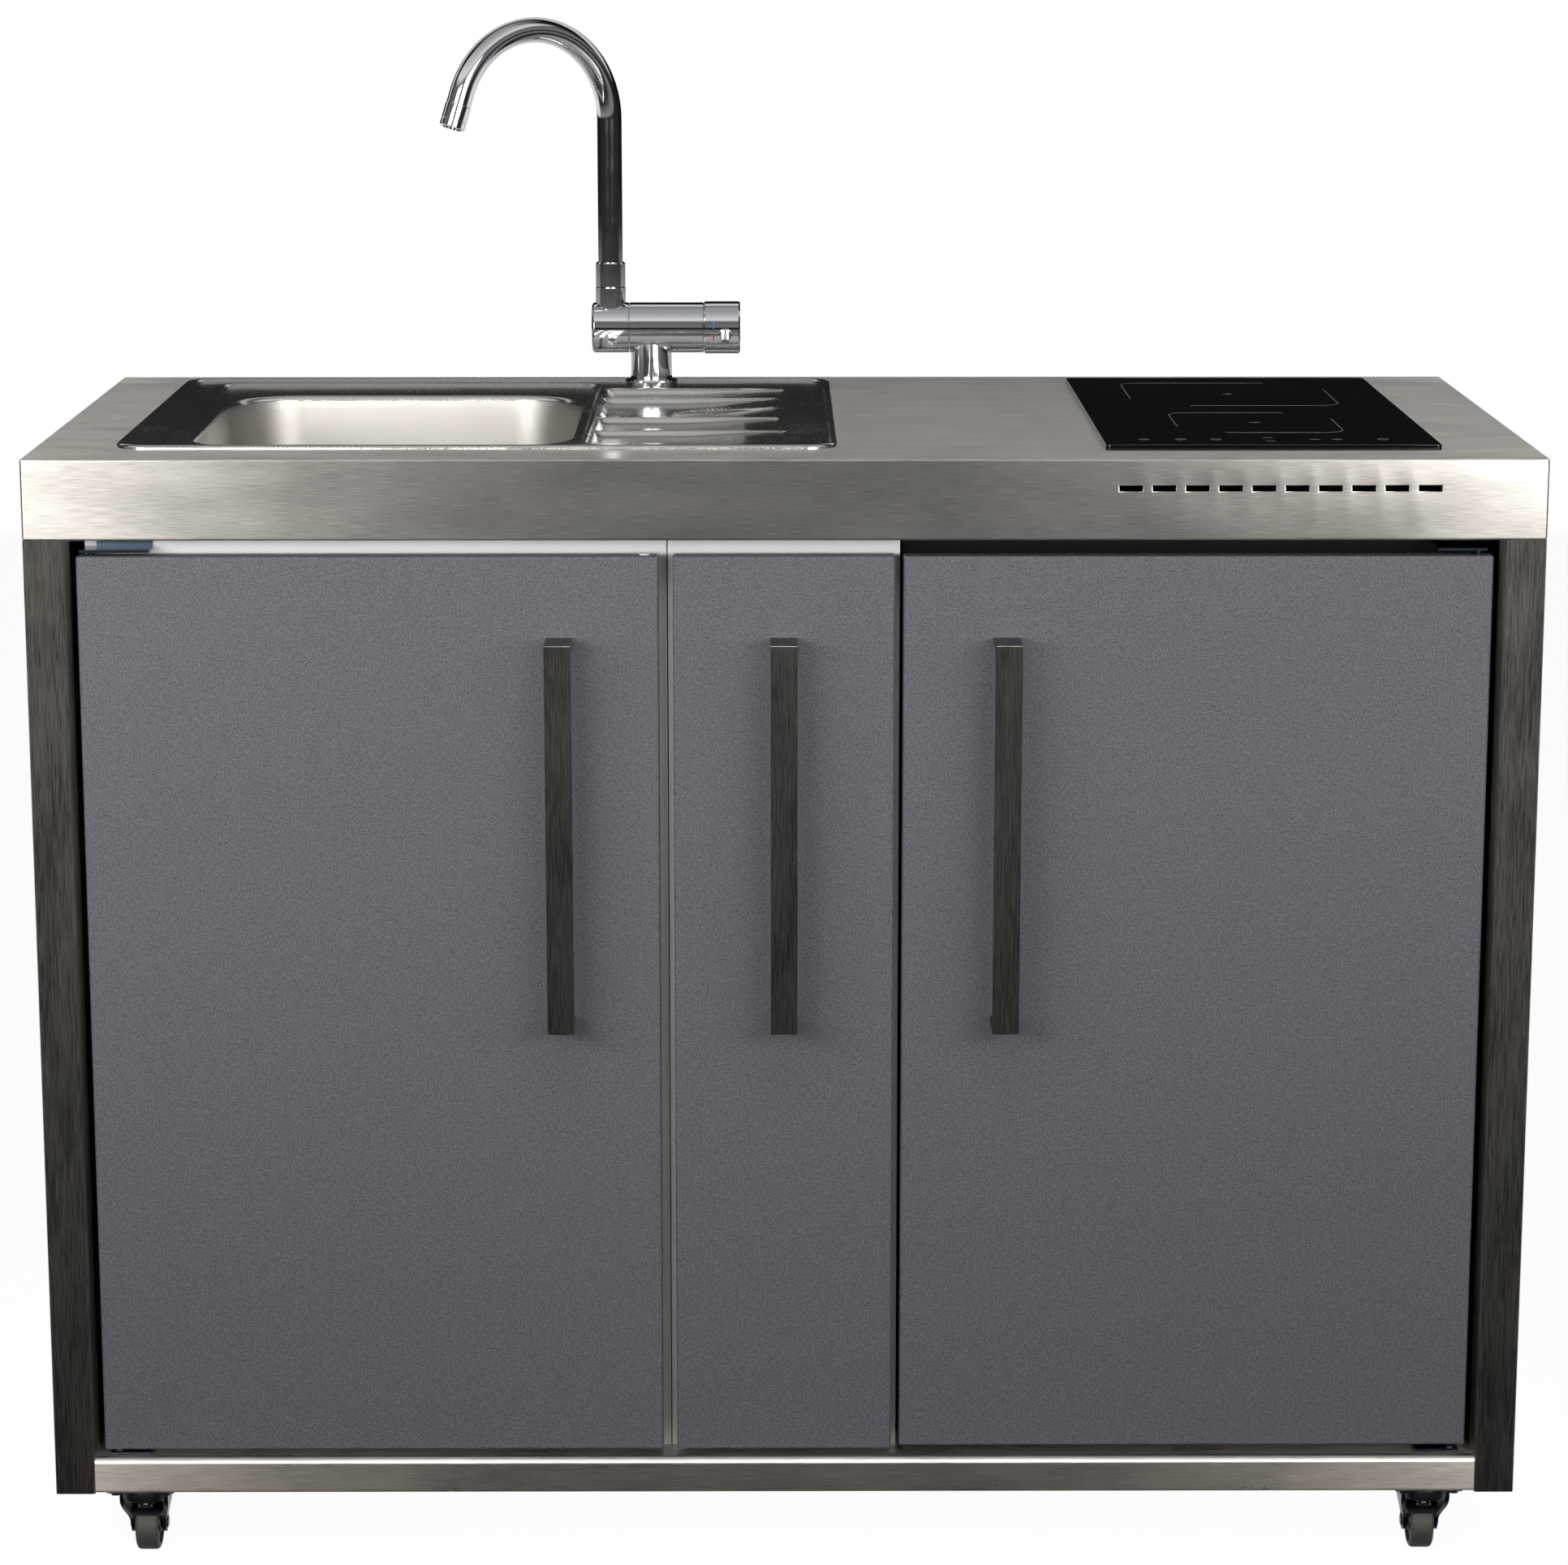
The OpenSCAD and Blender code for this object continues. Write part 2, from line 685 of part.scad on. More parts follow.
module caster_holes(zs) {
    for (spot = caster_spots)
        for (dx = [-1, 1])
            for (dy = [-1, 1])
                rod_z(spot[0] + dx*bolt_pitch/2, spot[1] + dy*bolt_pitch/2, zs, bolt_r + ease);
}

// Caster plates: four drilled plates, each with its riveted kingpin
module caster_plates() {
    color([0.62, 0.63, 0.65]) for (spot = caster_spots) {
        difference() {
            translate([spot[0] - caster_plate/2, spot[1] - caster_plate/2,
                       base_z - caster_plate_t])
                cube([caster_plate, caster_plate, caster_plate_t]);
            caster_holes([base_z - caster_plate_t - 1, base_z + 1]);
        }
        rod_z(spot[0], spot[1], [head_z0 - slip - 3, base_z - caster_plate_t], kingpin_r);
        rod_z(spot[0], spot[1], [head_z0 - slip - 3, head_z0 - slip], kingpin_r + 3);
    }
}

// Caster bolts: sixteen hexagon bolts, each with its nut inside the tray
module caster_bolts() {
    color([0.70, 0.70, 0.72]) for (spot = caster_spots)
        for (dx = [-1, 1])
            for (dy = [-1, 1])
                caster_bolt(spot[0] + dx*bolt_pitch/2, spot[1] + dy*bolt_pitch/2);
}

module caster_bolt(x, y) {
    rod_z(x, y, [base_z - caster_plate_t, base_z + sheet_t + 8], bolt_r);
    hexagon(x, y, [base_z - caster_plate_t - 3, base_z - caster_plate_t], bolt_r + 2.4);
    hexagon(x, y, [base_z + sheet_t, base_z + sheet_t + 5], bolt_r + 2.4);
}

// Fork: the swivel head with its two cheeks and the riveted axle
module caster_fork(i) {
    x = caster_spots[i][0];
    y = caster_spots[i][1];
    cheek_x = wheel_w/2 + 1.5;
    color([0.10, 0.10, 0.11]) difference() {
        union() {
            rod_z(x, y, [head_z0, head_z1], head_r);
            for (side = [-1, 1])
                translate([x + side*(cheek_x + cheek_t/2), y, 0]) fork_cheek();
            rod_x([x - cheek_x - cheek_t - 1.5, x + cheek_x + cheek_t + 1.5], y + trail,
                  wheel_r, axle_r);
        }
        rod_z(x, y, [head_z0 - 1, head_z1 + 1], kingpin_r + run);
    }
}

module fork_cheek() {
    rotate([90, 0, 90]) translate([0, 0, -cheek_t/2]) linear_extrude(cheek_t) {
        polygon([[-12, head_z0 + 4], [-8, head_z0 - 6], [trail - 9, wheel_r],
                 [trail + 9, wheel_r], [18, head_z0 + 4]]);
        translate([trail, wheel_r]) circle(9);
    }
}

// Wheel: a tread on a recessed hub, free to turn on the axle
module caster_wheel(i) {
    x = caster_spots[i][0];
    half = wheel_w/2;
    color([0.30, 0.30, 0.29]) translate([x, caster_spots[i][1] + trail, wheel_r])
        rotate([0, 90, 0]) rotate_extrude()
            polygon([[axle_r + run, -half], [9, -half], [10, -half + 2], [wheel_r - 7, -half + 2],
                     [wheel_r - 6, -half], [wheel_r - 2, -half], [wheel_r, -half + 3],
                     [wheel_r, half - 3], [wheel_r - 2, half], [wheel_r - 6, half],
                     [wheel_r - 7, half - 2], [10, half - 2], [9, half], [axle_r + run, half]]);
}

// One level of the bowl, for a hull: how far in and how far down it lies
module bowl_ring(inset, drop, grown) {
    r = bowl_r - inset/2 + grown;
    translate([0, 0, deck_z - drop]) linear_extrude(0.01)
        round_rect(grow([bowl_x0, bowl_x1], grown - inset),
                   grow([bowl_y0, bowl_y1], grown - inset), r, $fn = 32);
}

module bowl_shape(grown, extra) {
    low = bowl_draft;
    hull() {
        bowl_ring(0, 0, grown);
        bowl_ring(low*0.7, bowl_depth - 30, grown);
        bowl_ring(low, bowl_depth - 18, grown);
        bowl_ring(low + 7, bowl_depth - 6, grown);
        bowl_ring(low + 18, bowl_depth + extra, grown);
    }
}

// Sink: one pressed sheet with a raised rim, a stepped bowl and a ribbed drainer
module sink() {
    xs = [sink_x0, sink_x1];
    ys = [sink_y0, sink_y1];
    step_xs = [bowl_x0 - step_side*2, bowl_x1 + step_side];
    step_ys = [bowl_y0 - step_side, bowl_y1 + step_rear];
    drain_xs = [drainer_x0, drainer_x1];
    drain_ys = [drainer_y0, drainer_y1];
    step_z = deck_z - step_depth;
    drain_z = deck_z - drainer_depth;
    color([0.72, 0.71, 0.70]) {
        difference() {
            union() {
                round_plate(xs, ys, [top, deck_z], sink_r);
                round_plate(xs, ys, [top, top + rim_h], sink_r);
                round_plate(grow(step_xs, sink_t), grow(step_ys, sink_t),
                            [step_z - sink_t, deck_z], 20);
                round_plate(grow(drain_xs, sink_t), grow(drain_ys, sink_t),
                            [drain_z - sink_t, deck_z], 16);
                bowl_shape(sink_t, sink_t);
            }
            round_plate(grow(xs, -rim_w), grow(ys, -rim_w), [deck_z, top + rim_h + 1],
                        sink_r - rim_w/2);
            round_plate(step_xs, step_ys, [step_z, deck_z + 1], 19);
            round_plate(drain_xs, drain_ys, [drain_z, deck_z + 1], 15);
            bowl_shape(0, 0);
            rod_z(waste_x, waste_y, [bowl_z - 5, bowl_z + 5], waste_r);
            rod_z(tap_x, tap_y, [top - 5, top + 10], tap_hole_r);
        }
        for (i = [0 : rib_count - 1])
            drainer_rib(drainer_y0 + (i + 0.5)*drainer_l/rib_count, drain_z);
    }
}

module drainer_rib(y, z) {
    round_plate([drainer_x0 + 16, drainer_x1 - 12], [y - drain_rib_w/2, y + drain_rib_w/2],
                [z, z + drain_rib_h], drain_rib_w/2 - 0.01);
}

// Waste: a flanged cup in the bowl's floor, its clamping nut and the tail below
module sink_waste() {
    flange_z = bowl_z + 1.5;
    color([0.75, 0.75, 0.76]) difference() {
        union() {
            rod_z(waste_x, waste_y, [bowl_z, flange_z], waste_r + 7);
            rod_z(waste_x, waste_y, [cup_z, bowl_z], cup_r);
            rod_z(waste_x, waste_y, [bowl_z - sink_t - 9, bowl_z - sink_t], waste_r + 9);
            rod_z(waste_x, waste_y, [cup_z - 24, cup_z], pipe_r);
        }
        rod_z(waste_x, waste_y, [cup_z + 2, flange_z + 1], cup_r - 2.5);
        rod_z(waste_x, waste_y, [cup_z - 25, cup_z + 3], pipe_r - 2);
    }
}

// Strainer basket: lifts out of the waste cup by its knob
module strainer_basket() {
    rim_z = bowl_z + 1.5 + slip;
    color([0.78, 0.78, 0.79]) {
        difference() {
            union() {
                rod_z(waste_x, waste_y, [rim_z, rim_z + 1], waste_r + 2);
                rod_z(waste_x, waste_y, [strainer_z, rim_z], strainer_r);
            }
            rod_z(waste_x, waste_y, [strainer_z + 1.5, rim_z + 2], strainer_r - 1.5);
            for (i = [0 : 7])
                translate([waste_x, waste_y, strainer_z - 1]) rotate([0, 0, i*45])
                    translate([strainer_r*0.6, 0, 0]) cylinder(h = 4, r = 3);
        }
        rod_z(waste_x, waste_y, [strainer_z + 1.4, rim_z + 3], 2.5);
        rod_z(waste_x, waste_y, [rim_z + 3, rim_z + 7], 7);
    }
}

// Bottle trap: the cup under the waste and the outlet that leaves through the back panel
module bottle_trap() {
    trap_z1 = cup_z - 8;
    color([0.90, 0.90, 0.89]) difference() {
        union() {
            rod_z(waste_x, waste_y, [outlet_z - 50, trap_z1], trap_r);
            rod_y(waste_x, [waste_y, back - 4], outlet_z, pipe_r);
            rod_y(waste_x, [panel_y0 + panel_t, panel_y0 + panel_t + flange_t], outlet_z,
                  pipe_r + flange_t*2);
            rod_z(waste_x, waste_y, [outlet_z - 62, outlet_z - 50], trap_r - 6);
        }
        rod_z(waste_x, waste_y, [outlet_z - 47, trap_z1 + 1], trap_r - 3);
        rod_y(waste_x, [waste_y + 5, back], outlet_z, pipe_r - 2);
        rod_z(waste_x, waste_y, [cup_z - 26, trap_z1 + 1], pipe_r + ease);
    }
    color([0.90, 0.90, 0.89]) difference() {
        rod_z(waste_x, waste_y, [trap_z1 - 4, trap_z1], trap_r - 3);
        rod_z(waste_x, waste_y, [trap_z1 - 5, trap_z1 + 1], pipe_r + ease);
    }
}

// Tap body: foot, riser, fixed barrel, the two spigots and the threaded shank
module tap_body() {
    color([0.80, 0.80, 0.82]) {
        rod_z(tap_x, tap_y, [deck_z, deck_z + 3], foot_r);
        translate([tap_x, tap_y, deck_z + 3]) cylinder(h = 5, r1 = foot_r - 1, r2 = riser_r + 1);
        rod_z(tap_x, tap_y, [deck_z + 3, axis_z], riser_r);
        rod_x([barrel_x0, barrel_x1], tap_y, axis_z, barrel_r);
        rod_x([barrel_x0 - knuckle_len + 7, barrel_x0], tap_y, axis_z, spigot_r);
        rod_x([barrel_x1, barrel_x1 + ring_len - 7], tap_y, axis_z, spigot_r);
        rod_z(tap_x, tap_y, [shank_z, deck_z], shank_r);
    }
}

// Fixing nut: clamps the tap's shank under the sink
module tap_fixing_nut() {
    color([0.70, 0.62, 0.40]) difference() {
        union() {
            rod_z(tap_x, tap_y, [top - 3, top], nut_r);
            hexagon(tap_x, tap_y, [top - 14, top - 3], nut_r);
        }
        rod_z(tap_x, tap_y, [top - 15, top + 1], shank_r + ease);
    }
}

// Round rod between two points
module rod_between(from, to, r) {
    way = to - from;
    translate(from) rotate([0, acos(way[2]/norm(way)), atan2(way[1], way[0])])
        cylinder(h = norm(way), r = r);
}

// Water hoses: from the shank down and back to the two inlets, with pressed sleeves
module water_hoses() {
    color([0.55, 0.55, 0.57]) for (i = [0 : 1]) {
        x = inlet_xs[i];
        z = inlet_zs[i];
        bend_y = tap_y + hose_bend;
        rod_z(hose_xs[i], tap_y, [shank_z - sleeve_len, shank_z], sleeve_r);
        rod_between([hose_xs[i], tap_y, shank_z - sleeve_len/2], [x, tap_y, join_z], hose_r);
        rod_z(x, tap_y, [join_z - sleeve_len/2, join_z + sleeve_len/2], sleeve_r);
        rod_z(x, tap_y, [z + hose_bend, join_z], hose_r);
        translate([x, bend_y, z + hose_bend]) rotate([90, 0, 90]) rotate([0, 0, 180])
            rotate_extrude(angle = 90) translate([hose_bend, 0]) circle(hose_r - bend_ease);
        rod_y(x, [bend_y, inlet_y0], z, hose_r);
    }
}

// Inlet connectors: screwed through the back panel, with a hexagon on each side
module inlet_connectors() {
    color([0.72, 0.60, 0.32]) for (i = [0 : 1]) {
        x = inlet_xs[i];
        z = inlet_zs[i];
        difference() {
            union() {
                rod_y(x, [inlet_y0, inlet_y1], z, inlet_r);
                hexagon_y(x, [panel_y0 - 6, panel_y0], z, inlet_r + 4);
                hexagon_y(x, [panel_y0 + panel_t, panel_y0 + panel_t + 5], z, inlet_r + 4);
            }
            rod_y(x, [inlet_y0 + 5, inlet_y1 + 1], z, inlet_r - 4);
        }
    }
}

// Knuckle: turns on the left spigot, so that the spout folds down
module tap_knuckle() {
    x0 = barrel_x0 - knuckle_len;
    x1 = barrel_x0 - slip;
    color([0.80, 0.80, 0.82]) difference() {
        union() {
            rod_x([x0 + 2, x1], tap_y, axis_z, barrel_r);
            translate([x0, tap_y, axis_z]) rotate([0, 90, 0])
                cylinder(h = 2, r1 = barrel_r - 2.5, r2 = barrel_r);
            rod_z(spout_x, tap_y, [axis_z + spigot_r + 2, top + collar_h], collar_r);
        }
        rod_x([x0 + 6, x1 + 1], tap_y, axis_z, spigot_r + run);
        rod_z(spout_x, tap_y, [axis_z + spigot_r + 3, top + collar_h + 1],
              collar_r - 6 + run);
    }
}

// Spout: the swan-neck tube on its collar, free to swivel in the knuckle
module tap_spout() {
    neck_z = barrel_h + spigot_r + 5;
    color([0.80, 0.80, 0.82]) translate([spout_x, tap_y, top]) rotate([0, 0, spout_dir])
        difference() {
            union() {
                translate([0, 0, neck_z]) cylinder(h = collar_h - neck_z + 5, r = collar_r - 6);
                translate([0, 0, collar_h + slip])
                    cylinder(h = collar_top - collar_h - slip, r = collar_r - 0.3);
                spout_path(collar_top, tube_r, tube_end);
            }
            translate([0, 0, neck_z - 1]) cylinder(h = collar_top - neck_z + 1, r = collar_r - 9);
            spout_path(collar_top, tube_r - tube_wall, tube_end + 1);
        }
}

// The tube's course at a radius, from a height up, round the bend and straight to its end
module spout_path(z0, r, end) {
    translate([0, 0, z0]) cylinder(h = bend_h - z0, r = r);
    translate([bend_r, 0, bend_h]) rotate([90, 0, 0]) mirror([1, 0, 0])
        rotate_extrude(angle = bend_angle) translate([bend_r, 0]) circle(r - bend_ease);
    spout_tip() cylinder(h = end, r = r);
}

// Places what follows the bend at its end, along the tube
module spout_tip() {
    translate([bend_r*(1 - cos(bend_angle)), 0, bend_h + bend_r*sin(bend_angle)])
        rotate([0, bend_angle, 0]) children();
}

// Aerator: the screwed sleeve at the spout's mouth
module tap_aerator() {
    color([0.75, 0.75, 0.77]) translate([spout_x, tap_y, top]) rotate([0, 0, spout_dir])
        spout_tip() translate([0, 0, tube_end]) difference() {
            cylinder(h = aerator_len, r = tube_r + 0.5);
            translate([0, 0, aerator_len - 4]) cylinder(h = 5, r = tube_r - 2.5);
        }
}

// Control: the ring that turns on the right spigot, with its pin
module tap_control() {
    x0 = barrel_x1 + slip;
    x1 = barrel_x1 + ring_len;
    color([0.80, 0.80, 0.82]) difference() {
        union() {
            rod_x([x0, x1 - 1], tap_y, axis_z, barrel_r + 1);
            rod_x([x1 - 1, x1], tap_y, axis_z, barrel_r);
            translate([(x0 + x1)/2 + 3, tap_y, axis_z]) rotate([90 + lever_slope, 0, 0])
                cylinder(h = lever_reach, r = lever_r);
        }
        rod_x([x0 - 1, x1 - 6], tap_y, axis_z, spigot_r + run);
    }
}

// Hob: the ceramic glass that lies on the worktop
module hob_glass() {
    color([0.06, 0.06, 0.07])
        round_plate([hob_x0, hob_x1], [hob_y0, hob_y1], [top, top + hob_t], hob_r);
}

// Housing: the sheet tray under the glass
module hob_housing() {
    xs = grow([hob_x0, hob_x1], -housing_in);
    ys = grow([hob_y0, hob_y1], -housing_in);
    color([0.50, 0.50, 0.52]) difference() {
        block(xs, ys, [housing_z, top]);
        block(grow(xs, -housing_t), grow(ys, -housing_t), [housing_z + housing_t, top + 1]);
    }
}

// Coils: the two flat windings on their carriers under the glass
module induction_coils() {
    color([0.72, 0.45, 0.25]) {
        induction_coil(rear_coil_y, rear_coil_r);
        induction_coil(front_coil_y, front_coil_r);
    }
}

module induction_coil(y, r) {
    difference() {
        rod_z(hob_x, y, [coil_z, top - 4], r);
        rod_z(hob_x, y, [coil_z - 1, top - 3], 20);
    }
    rod_z(hob_x, y, [housing_z + housing_t, coil_z], 26);
}

// Fan: the flat blower that draws air in through the fascia's slots, with its rotor's pin
module hob_fan() {
    color([0.15, 0.15, 0.16]) {
        difference() {
            block([fan_x - fan_w/2, fan_x + fan_w/2], [fan_y - fan_d/2, fan_y + fan_d/2],
                  [fan_z, fan_z + fan_h]);
            rod_z(fan_x, fan_y, [fan_z + 2, fan_z + fan_h + 1], rotor_r + 1);
        }
        rod_z(fan_x, fan_y, [fan_z + 1, fan_z + fan_h - 4], 2);
    }
}

// Fan rotor: a ring of upright blades on a disc, turning on the pin
module hob_fan_rotor() {
    z0 = fan_z + 2 + slip;
    color([0.20, 0.20, 0.22]) difference() {
        union() {
            rod_z(fan_x, fan_y, [z0, z0 + 2], rotor_r);
            rod_z(fan_x, fan_y, [z0, fan_z + fan_h - 5], 4.5);
            for (i = [0 : blade_count - 1])
                translate([fan_x, fan_y, z0]) rotate([0, 0, i*360/blade_count])
                    translate([rotor_r - 5.5, -0.6, 0]) cube([5, 1.2, fan_h - 6]);
        }
        rod_z(fan_x, fan_y, [z0 - 1, fan_z + fan_h], 2 + run);
    }
}

// Sink cabinet: a folded steel box, open at the top for the bowl, open at the rear above
module sink_cabinet() {
    xs = [sink_cab_x0, sink_cab_x1];
    lug_z = floor_z + shelf_h;
    color([0.92, 0.92, 0.91]) {
        cabinet_box(xs, cab_z1 - service_gap, cab_lip);
        block(xs, [cab_y0, cab_y0 + cab_t], [cab_z1 - 24, cab_z1]);
        block(xs, [cab_y0, cab_y0 + 22], [cab_z1 - cab_t, cab_z1]);
        for (y = [cab_y0 + 50, cab_y0 + shelf_d - 40]) {
            block([xs[0], xs[0] + 8], [y, y + 20], [lug_z - 3, lug_z]);
            block([xs[1] - 8, xs[1]], [y, y + 20], [lug_z - 3, lug_z]);
        }
    }
}

// The shape that both cabinets share: floor, sides, back and folded front edges
module cabinet_box(xs, back_z1, lip) {
    ys = [cab_y0, cab_y1];
    block(xs, ys, [floor_z, floor_z + cab_t]);
    block([xs[0], xs[0] + cab_t], ys, [floor_z, cab_z1]);
    block([xs[1] - cab_t, xs[1]], ys, [floor_z, cab_z1]);
    block(xs, [ys[1] - cab_t, ys[1]], [floor_z, back_z1]);
    block([xs[0], xs[0] + lip], [ys[0], ys[0] + cab_t], [floor_z, cab_z1]);
    block([xs[1] - lip, xs[1]], [ys[0], ys[0] + cab_t], [floor_z, cab_z1]);
    block(xs, [ys[0], ys[0] + cab_t], [floor_z, floor_z + cab_lip]);
}

// Shelf: a sheet with turned-down edges on the cabinet's four lugs
module cabinet_shelf() {
    xs = grow([sink_cab_x0, sink_cab_x1], -cab_t - slip);
    ys = [cab_y0 + cab_t + 10, cab_y0 + shelf_d];
    z = floor_z + shelf_h;
    color([0.92, 0.92, 0.91]) {
        block(xs, ys, [z, z + cab_t]);
        block(grow(xs, -12), [ys[0], ys[0] + cab_t], [z - shelf_edge, z + cab_t]);
        block(grow(xs, -12), [ys[1] - cab_t, ys[1]], [z - shelf_edge, z + cab_t]);
    }
}

// Hinge plates of the sink door: angle plates on the cabinet's front, each with its pin
module door_hinge_plates() {
    x0 = left_door_x0 + 3;
    plate_z = door_z1 + 3;
    foot_z = floor_z + 1;
    color([0.66, 0.70, 0.76]) {
        block([x0, x0 + top_plate_w], [door_y0 + 2, cab_y0], [plate_z, plate_z + plate_t]);
        block([x0 + 12, x0 + top_plate_w], [cab_y0 - 2, cab_y0], [plate_z, plate_z + 10]);
        rod_z(left_pivot_x, pivot_y, [door_z1 - pin_depth, plate_z], pin_r);
        block([x0 + 2, x0 + foot_plate_w], [door_y0 + 2, cab_y0], [foot_z, foot_z + plate_t]);
        rod_z(left_pivot_x, pivot_y, [foot_z, door_z0 + pin_depth], pin_r);
        rod_z(left_pivot_x, pivot_y, [foot_z, door_z0 - slip], pin_r + 3);
    }
}

// Pull-out cabinet: a narrow folded steel box
module pullout_cabinet() {
    color([0.92, 0.92, 0.91]) {
        cabinet_box([pull_x0, pull_x1], cab_z1, pull_lip);
        block([pull_x0, pull_x1], [cab_y0, cab_y0 + cab_t], [cab_z1 - 24, cab_z1]);
    }
}

// Rails: four grooved outer runners on the cabinet's walls
module pullout_rails() {
    color([0.68, 0.69, 0.71]) for (z = runner_zs) {
        outer_rail([pull_x0 + cab_t, pull_x0 + cab_t + runner_w],
                   [pull_x0 + cab_t + runner_w - groove_d, pull_x0 + cab_t + runner_w + 1], z);
        outer_rail([pull_x1 - cab_t - runner_w, pull_x1 - cab_t],
                   [pull_x1 - cab_t - runner_w - 1, pull_x1 - cab_t - runner_w + groove_d], z);
    }
}

module outer_rail(xs, groove_xs, z) {
    difference() {
        block(xs, [runner_y0, runner_y0 + runner_len], [z, z + runner_h]);
        block(groove_xs, [runner_y0 - 1, runner_y0 + runner_len + 1],
              [z + runner_h/4, z + runner_h*3/4]);
    }
}

// Frame of the pull-out: end plates, the four carriers and their tongues in the rails
module pullout_frame() {
    tongue = groove_d - slip;
    color([0.80, 0.80, 0.81]) {
        block([carrier_x0, carrier_x1], [frame_y0, frame_y0 + frame_t], [frame_z0, frame_z1]);
        block([carrier_x0, carrier_x1], [frame_y1 - frame_t, frame_y1], [frame_z0, frame_z1]);
        for (z = runner_zs) {
            zs = [z + runner_h/4 + slip, z + runner_h*3/4 - slip];
            block([carrier_x0, carrier_x0 + frame_t], [frame_y0, frame_y1], [z, z + runner_h]);
            block([carrier_x1 - frame_t, carrier_x1], [frame_y0, frame_y1], [z, z + runner_h]);
            block([carrier_x0 - tongue, carrier_x0], [runner_y0 + 4, frame_y1], zs);
            block([carrier_x1, carrier_x1 + tongue], [runner_y0 + 4, frame_y1], zs);
        }
    }
}

// Trays: hung between the end plates of the frame
module pullout_trays() {
    xs = [tray_x0, tray_x1];
    ys = [frame_y0 + frame_t, frame_y1 - frame_t];
    color([0.86, 0.86, 0.87]) for (i = [0 : tray_count - 1]) {
        z = frame_z0 + 8 + i*tray_step;
        difference() {
            block(xs, ys, [z, z + tray_wall]);
            block(grow(xs, -tray_t), grow(ys, -tray_t), [z + tray_t, z + tray_wall + 1]);
        }
    }
}

// Refrigerator cabinet: a double-walled steel shell round the cavity and the compressor's recess
module fridge_cabinet() {
    color([0.10, 0.10, 0.11]) difference() {
        fridge_walls(0);
        fridge_walls(fridge_sheet);
    }
}

// The walls as a solid, drawn in on every face by a sheet's thickness
module fridge_walls(by) {
    difference() {
        block(grow([fridge_x0, fridge_x1], -by), grow([fridge_y0, cab_y1], -by),
              grow([floor_z, fridge_z1], -by));
        cavity(-by);
        block(grow([fridge_x0, fridge_x1], by - recess_side), [cab_y1 - recess_d - by, cab_y1 + 1],
              [floor_z + recess_side - by, floor_z + recess_h + by]);
    }
}

// The stepped hollow, drawn in by a wall's thickness
module cavity(inset) {
    xs = grow([cavity_x0, cavity_x1], -inset);
    block(xs, [fridge_y0 - 1, cavity_low_back - inset], [cavity_z0 + inset, cavity_z1 - inset]);
    block(xs, [fridge_y0 - 1, cavity_back - inset], [cavity_step + inset, cavity_z1 - inset]);
}

// Liner: the moulded inner skin, with ribs that carry the glass shelves
module fridge_liner() {
    rib_ys = [fridge_y0 + 30, cavity_low_back - 10];
    color([0.94, 0.95, 0.96]) {
        difference() {
            intersection() {
                cavity(0);
                block([fridge_x0, fridge_x1], [fridge_y0, cab_y1], [floor_z, fridge_z1]);
            }
            cavity(liner_t);
        }
        for (z = [low_shelf_z, high_shelf_z]) {
            block([cavity_x0 + liner_t - 0.5, cavity_x0 + liner_t + rib_w], rib_ys, [z - 4, z]);
            block([cavity_x1 - liner_t - rib_w, cavity_x1 - liner_t + 0.5], rib_ys, [z - 4, z]);
        }
    }
}

// Shelves: two loose glass plates on the liner's ribs
module fridge_shelves() {
    xs = grow([cavity_x0, cavity_x1], -liner_t - slip);
    color([0.75, 0.85, 0.85, 0.5]) for (z = [low_shelf_z, high_shelf_z])
        block(xs, [fridge_y0 + rack_d + 24, cavity_low_back + 20], [z, z + glass_t]);
}

// Compressor: a domed shell on its foot plate, in the recess
module compressor() {
    y = cab_y1 - recess_d/2 - 4;
    z = floor_z + recess_side;
    color([0.12, 0.12, 0.13]) translate([fridge_x1 - compressor_side, y, z]) {
        translate([-compressor_r - 15, -compressor_r, 0])
            cube([2*compressor_r + 30, 2*compressor_r, 4]);
        rotate_extrude() polygon([[0, 4], [compressor_r, 4], [compressor_r, compressor_h*0.65],
            [compressor_r*0.85, compressor_h*0.88], [compressor_r*0.5, compressor_h],
            [0, compressor_h]]);
    }
}

// Condenser: the tube grid on the refrigerator's back
module condenser_coil() {
    xs = [fridge_x0 + 40, fridge_x1 - 40];
    zs = [floor_z + recess_h + 60, fridge_z1 - 60];
    y = cab_y1 + 2 + coil_r;
    step = (zs[1] - zs[0])/(coil_count - 1);
    color([0.10, 0.10, 0.10]) {
        for (i = [0 : coil_count - 1])
            rod_x(xs, y, zs[0] + i*step, coil_r);
        for (x = xs) {
            rod_z(x, y, grow(zs, 8), coil_r);
            for (z = grow(zs, -12))
                block(grow([x, x], 6), [cab_y1, y], grow([z, z], 5));
        }
    }
}

// Hinge plates of the refrigerator door, each with its pin
module fridge_hinge_plates() {
    x1 = fridge_x1 - 1;
    foot_z = floor_z + 1.5;
    color([0.70, 0.72, 0.75]) {
        block([x1 - fridge_plate_w, x1], [door_y0 + 2, fridge_y0 + fridge_plate_l],
              [fridge_z1, fridge_z1 + plate_t]);
        rod_z(right_pivot_x, pivot_y, [door_z1 - pin_depth, fridge_z1], pin_r);
        block([x1 - foot_plate_w, x1], [door_y0 + 2, fridge_y0], [foot_z, foot_z + plate_t]);
        block([x1 - foot_plate_w, x1], [fridge_y0 - 2, fridge_y0],
              [foot_z, fridge_door_z0 + 4]);
        rod_z(right_pivot_x, pivot_y, [foot_z, fridge_door_z0 + pin_depth], pin_r);
        rod_z(right_pivot_x, pivot_y, [foot_z, fridge_door_z0 - slip], pin_r + 3);
    }
}

